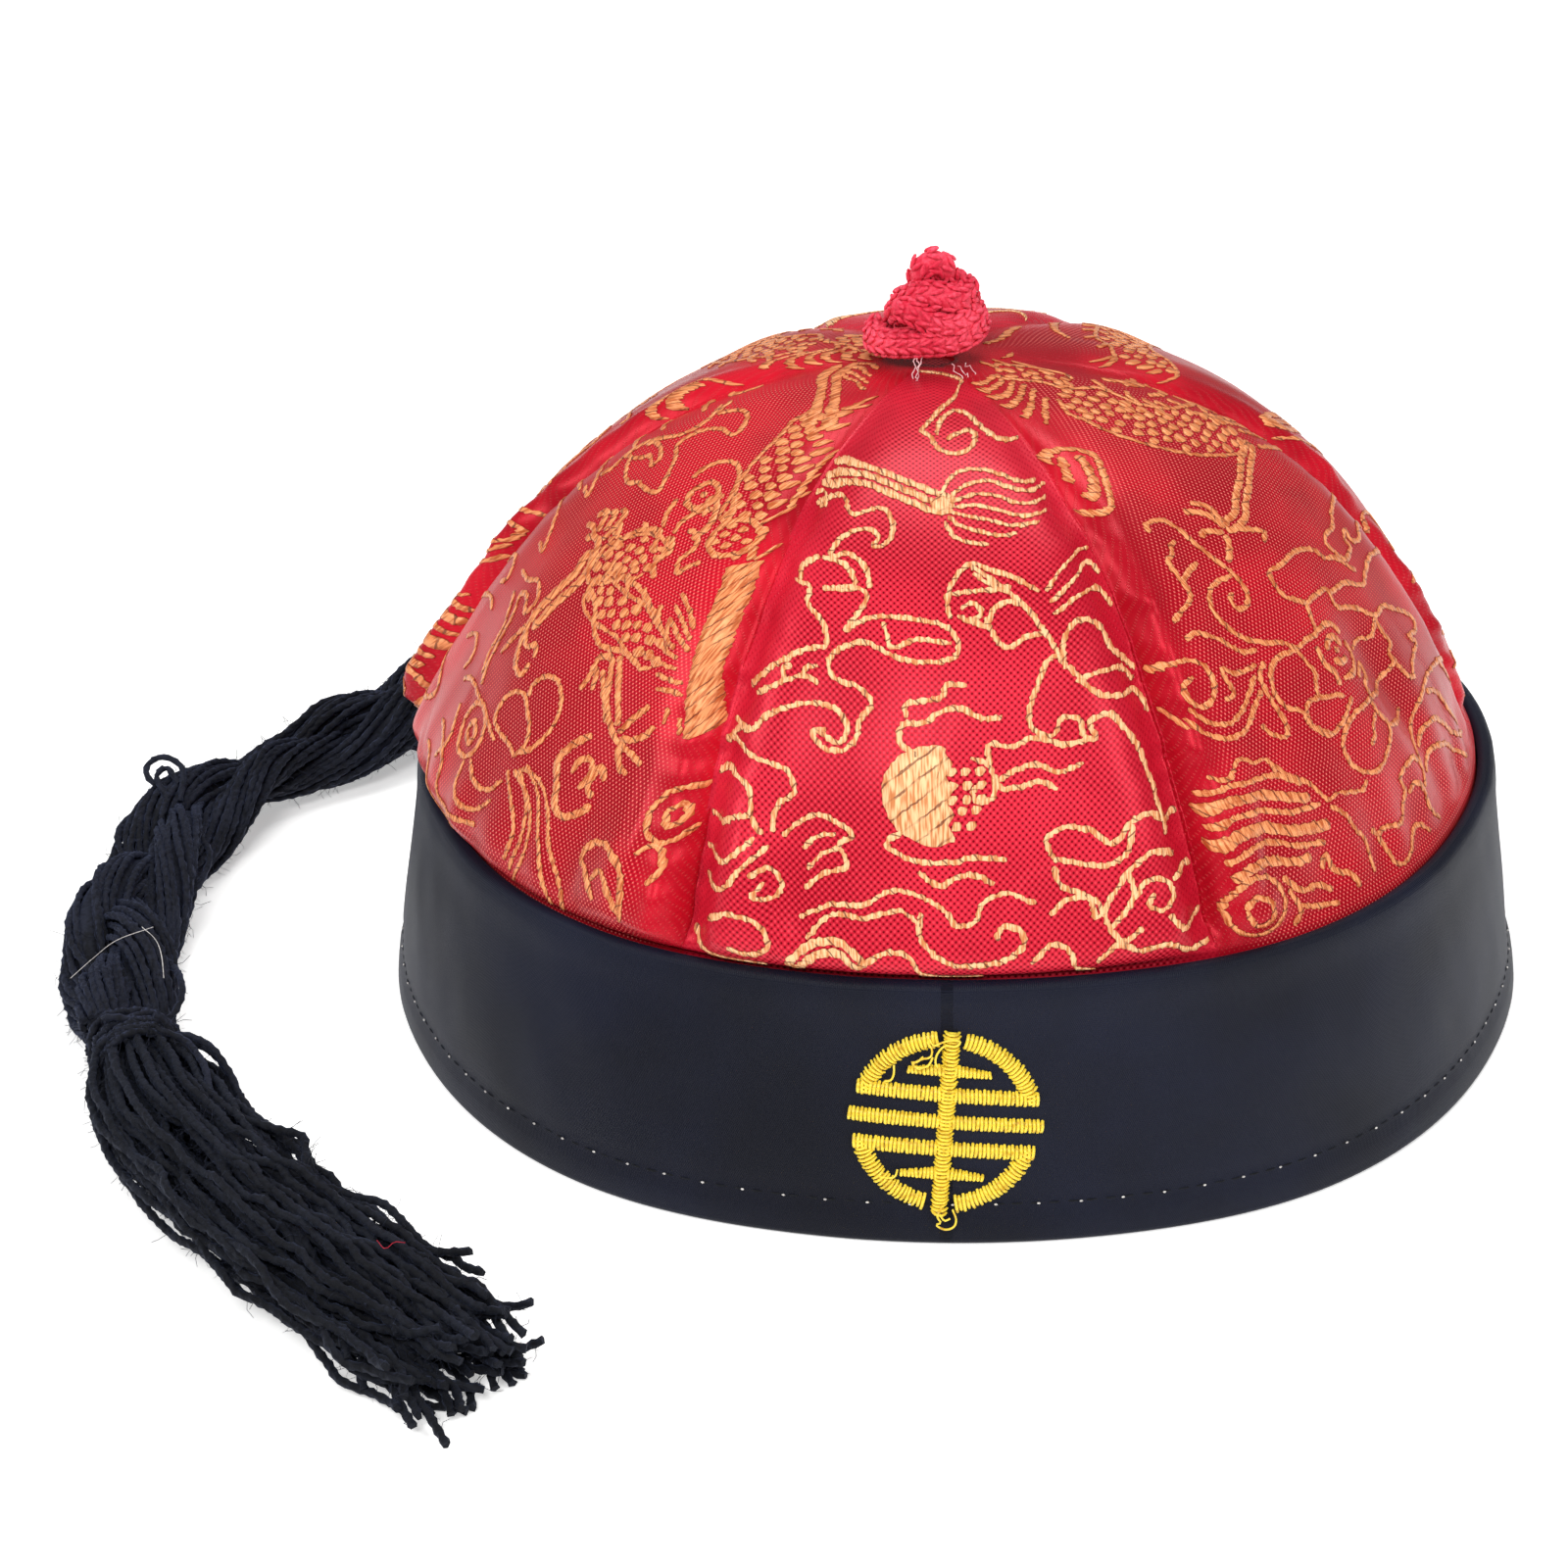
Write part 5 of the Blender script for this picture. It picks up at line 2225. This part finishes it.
    def build(self, threads: Tree, fuzz: Tree) -> None:
        finish = ACRYLIC_YARN.material()
        twist = {"sides": 5, "flatness": 0.7, "pitch": self.twist}
        plait = spin(threads, "queue_plait", self.plait_lines(), finish, self.yarn_radius, **twist)
        settle(plait, Slot.YARN, "queue_strand_1", "queue_strand_2", "queue_strand_3")
        lines, radii = self.core_lines()
        core = settle(spin(threads, "queue_core", lines, finish, 1.0, 10, radii=radii), Slot.YARN)
        loops = settle(spin(threads, "queue_loops", self.strays(), finish, 0.7, **twist), Slot.YARN)
        winding = spin(threads, "queue_winding", self.binding_lines(), finish, self.yarn_radius, **twist)
        settle(winding, Slot.YARN, "queue_binding")
        loose = LOOSE_YARN.material()
        tassel = spin(threads, "queue_ends", self.tassel_lines(), loose, self.tassel_radius, **twist)
        settle(tassel, Slot.YARN, "queue_tassel")
        settle(spin(threads, "queue_lint", self.lint_lines(), PALE_LINT.material(), 0.06, 4), Slot.YARN)
        speck = ((-82.8, -114.3, 14.6), (-81.1, -117.2, 15.1), (-80.1, -115, 14.8), (-78.8, -114, 14))
        red = spin(threads, "queue_red_lint", [smooth_route(speck, 0.8)], RED_LINT.material(), 0.07, 4)
        settle(red, Slot.YARN)
        self.fuzz(fuzz, threads, (plait, tassel, winding), finish)

    def fuzz(self, fuzz: Tree, threads: Tree, hosts: tuple, finish: bpy.types.Material) -> None:
        """Grows short stray fibres out of the yarn."""
        hair_line = smooth_route(((0, 0, -0.1), (0.4, 0.1, 0.9), (1.5, 0.6, 1.5)), 1.1)
        hair = spin(threads, "hair", [hair_line], finish, 0.035, 3)
        for number, host in enumerate(hosts):
            holder = put("fuzz_host", host.data.copy())
            values = {"Density": self.fuzz_density, "Seed": 61 + number, "Object": hair, "Material": finish}
            grown = fuzz.bake(holder, values, f"{host.name}_fuzz")
            lie_on_floor(grown)
            settle(grown, Slot.YARN)
        bpy.data.objects.remove(hair)


def lie_on_floor(piece: bpy.types.Object) -> None:
    """Lifts the parts of a piece that reach below the floor onto it."""
    places = np.empty(3 * len(piece.data.vertices), np.float32)
    piece.data.vertices.foreach_get("co", places)
    places[2::3] = np.maximum(places[2::3], 0.1 * MM)
    piece.data.vertices.foreach_set("co", places)


def wander(rng: np.random.Generator, count: int, swings: int) -> Points:
    """Draws a smooth random walk.

    Args:
        rng: the seeded source of chance.
        count: how many values.
        swings: how many turning points it has.

    Returns:
        Values mostly from -1 to 1.
    """
    marks = rng.normal(size=swings + 3) * 0.6
    at = np.linspace(0, swings, count)
    low = np.floor(at).astype(int)
    t = at - low
    ease = t * t * (3 - 2 * t)
    return marks[low] * (1 - ease) + marks[low + 1] * ease


@dataclass
class Studio:
    """The floor, the soft lights and the camera at the photograph's viewing angle."""

    place: tuple = (-0.956, -557.64, 311.26)
    pan: float = -0.0492
    tilt: float = 0.4658
    roll: float = -0.0214
    lens: float = 85.0
    sensor: float = 36.0

    def camera(self) -> None:
        """Makes the scene's camera."""
        data = bpy.data.cameras.new("camera")
        data.lens, data.sensor_width = self.lens, self.sensor
        data.clip_start = 0.01
        camera = put("camera", data)
        level = math.cos(self.tilt)
        ahead = np.array([math.sin(self.pan) * level, math.cos(self.pan) * level, -math.sin(self.tilt)])
        right = np.array([math.cos(self.pan), -math.sin(self.pan), 0.0])
        up = np.cross(right, ahead)
        rolled_right = right * math.cos(self.roll) + up * math.sin(self.roll)
        rolled_up = -right * math.sin(self.roll) + up * math.cos(self.roll)
        turn = Matrix(np.column_stack([rolled_right, rolled_up, -ahead]).tolist())
        camera.matrix_world = Matrix.Translation(np.array(self.place) * MM) @ turn.to_4x4()
        bpy.context.scene.camera = camera

    def light(self, name: str, place: tuple, size: tuple, power: float) -> None:
        """Makes a soft box that faces the cap.

        Args:
            name: the light's name.
            place: where it stands, in metres.
            size: its width and height, in metres.
            power: its power in watts.
        """
        data = bpy.data.lights.new(name, "AREA")
        data.shape = "RECTANGLE"
        data.size, data.size_y = size
        data.energy = power
        lamp = put(name, data)
        ahead = unit(np.array((0.0, 0.0, 0.05)) - np.array(place))
        right = unit(np.cross(ahead, (0, 0, 1)))
        turn = Matrix(np.column_stack([right, np.cross(right, ahead), -ahead]).tolist())
        lamp.matrix_world = Matrix.Translation(place) @ turn.to_4x4()

    def build(self) -> None:
        """Makes the lights, the world's fill and the floor."""
        self.light("front_box", (-0.2, -1.0, 1.05), (0.5, 0.4), 9.2)
        self.light("left_box", (-1.0, -0.35, 0.8), (0.4, 0.4), 5.5)
        self.light("right_box", (0.8, -0.75, 0.85), (0.4, 0.4), 6.2)
        self.light("top_box", (0.1, 0.4, 1.2), (0.7, 0.5), 7.0)
        world = bpy.data.worlds.new("studio")
        bpy.context.scene.world = world
        world.use_nodes = True
        backdrop = world.node_tree.nodes["Background"]
        backdrop.inputs[0].default_value = linear("#ffffff")
        backdrop.inputs[1].default_value = 0.14
        bpy.context.scene.view_settings.view_transform = "Standard"
        size = 6000.0
        corners = np.array([(-size, -size, 0), (size, -size, 0), (size, size, 0), (-size, size, 0)])
        mesh_piece("floor", corners, [[0, 1, 2, 3]], PaperSweep().material())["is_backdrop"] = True


def save_sizes() -> None:
    """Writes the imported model's box and the visual model's box side by side."""
    boxes = {"cad": CAD_BOX, "visual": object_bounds()}
    plain = {name: [[float(v) for v in corner] for corner in box] for name, box in boxes.items()}


def main() -> None:
    """Builds the camera, the queue and then the cap, piece by piece."""
    logging.basicConfig(level=logging.INFO, format="%(name)s: %(message)s")
    studio = Studio()
    studio.camera()
    threads, march, fuzz = thread_tree(), scatter_tree(), fuzz_tree()
    Queue().build(threads, fuzz)
    band = Band()
    band.build(threads, march)
    Roundel(band).build(threads)
    Crown().build()
    ButtonKnot().build(threads, march)
    studio.build()
    save_sizes()


if __name__ == "__main__":
    main()
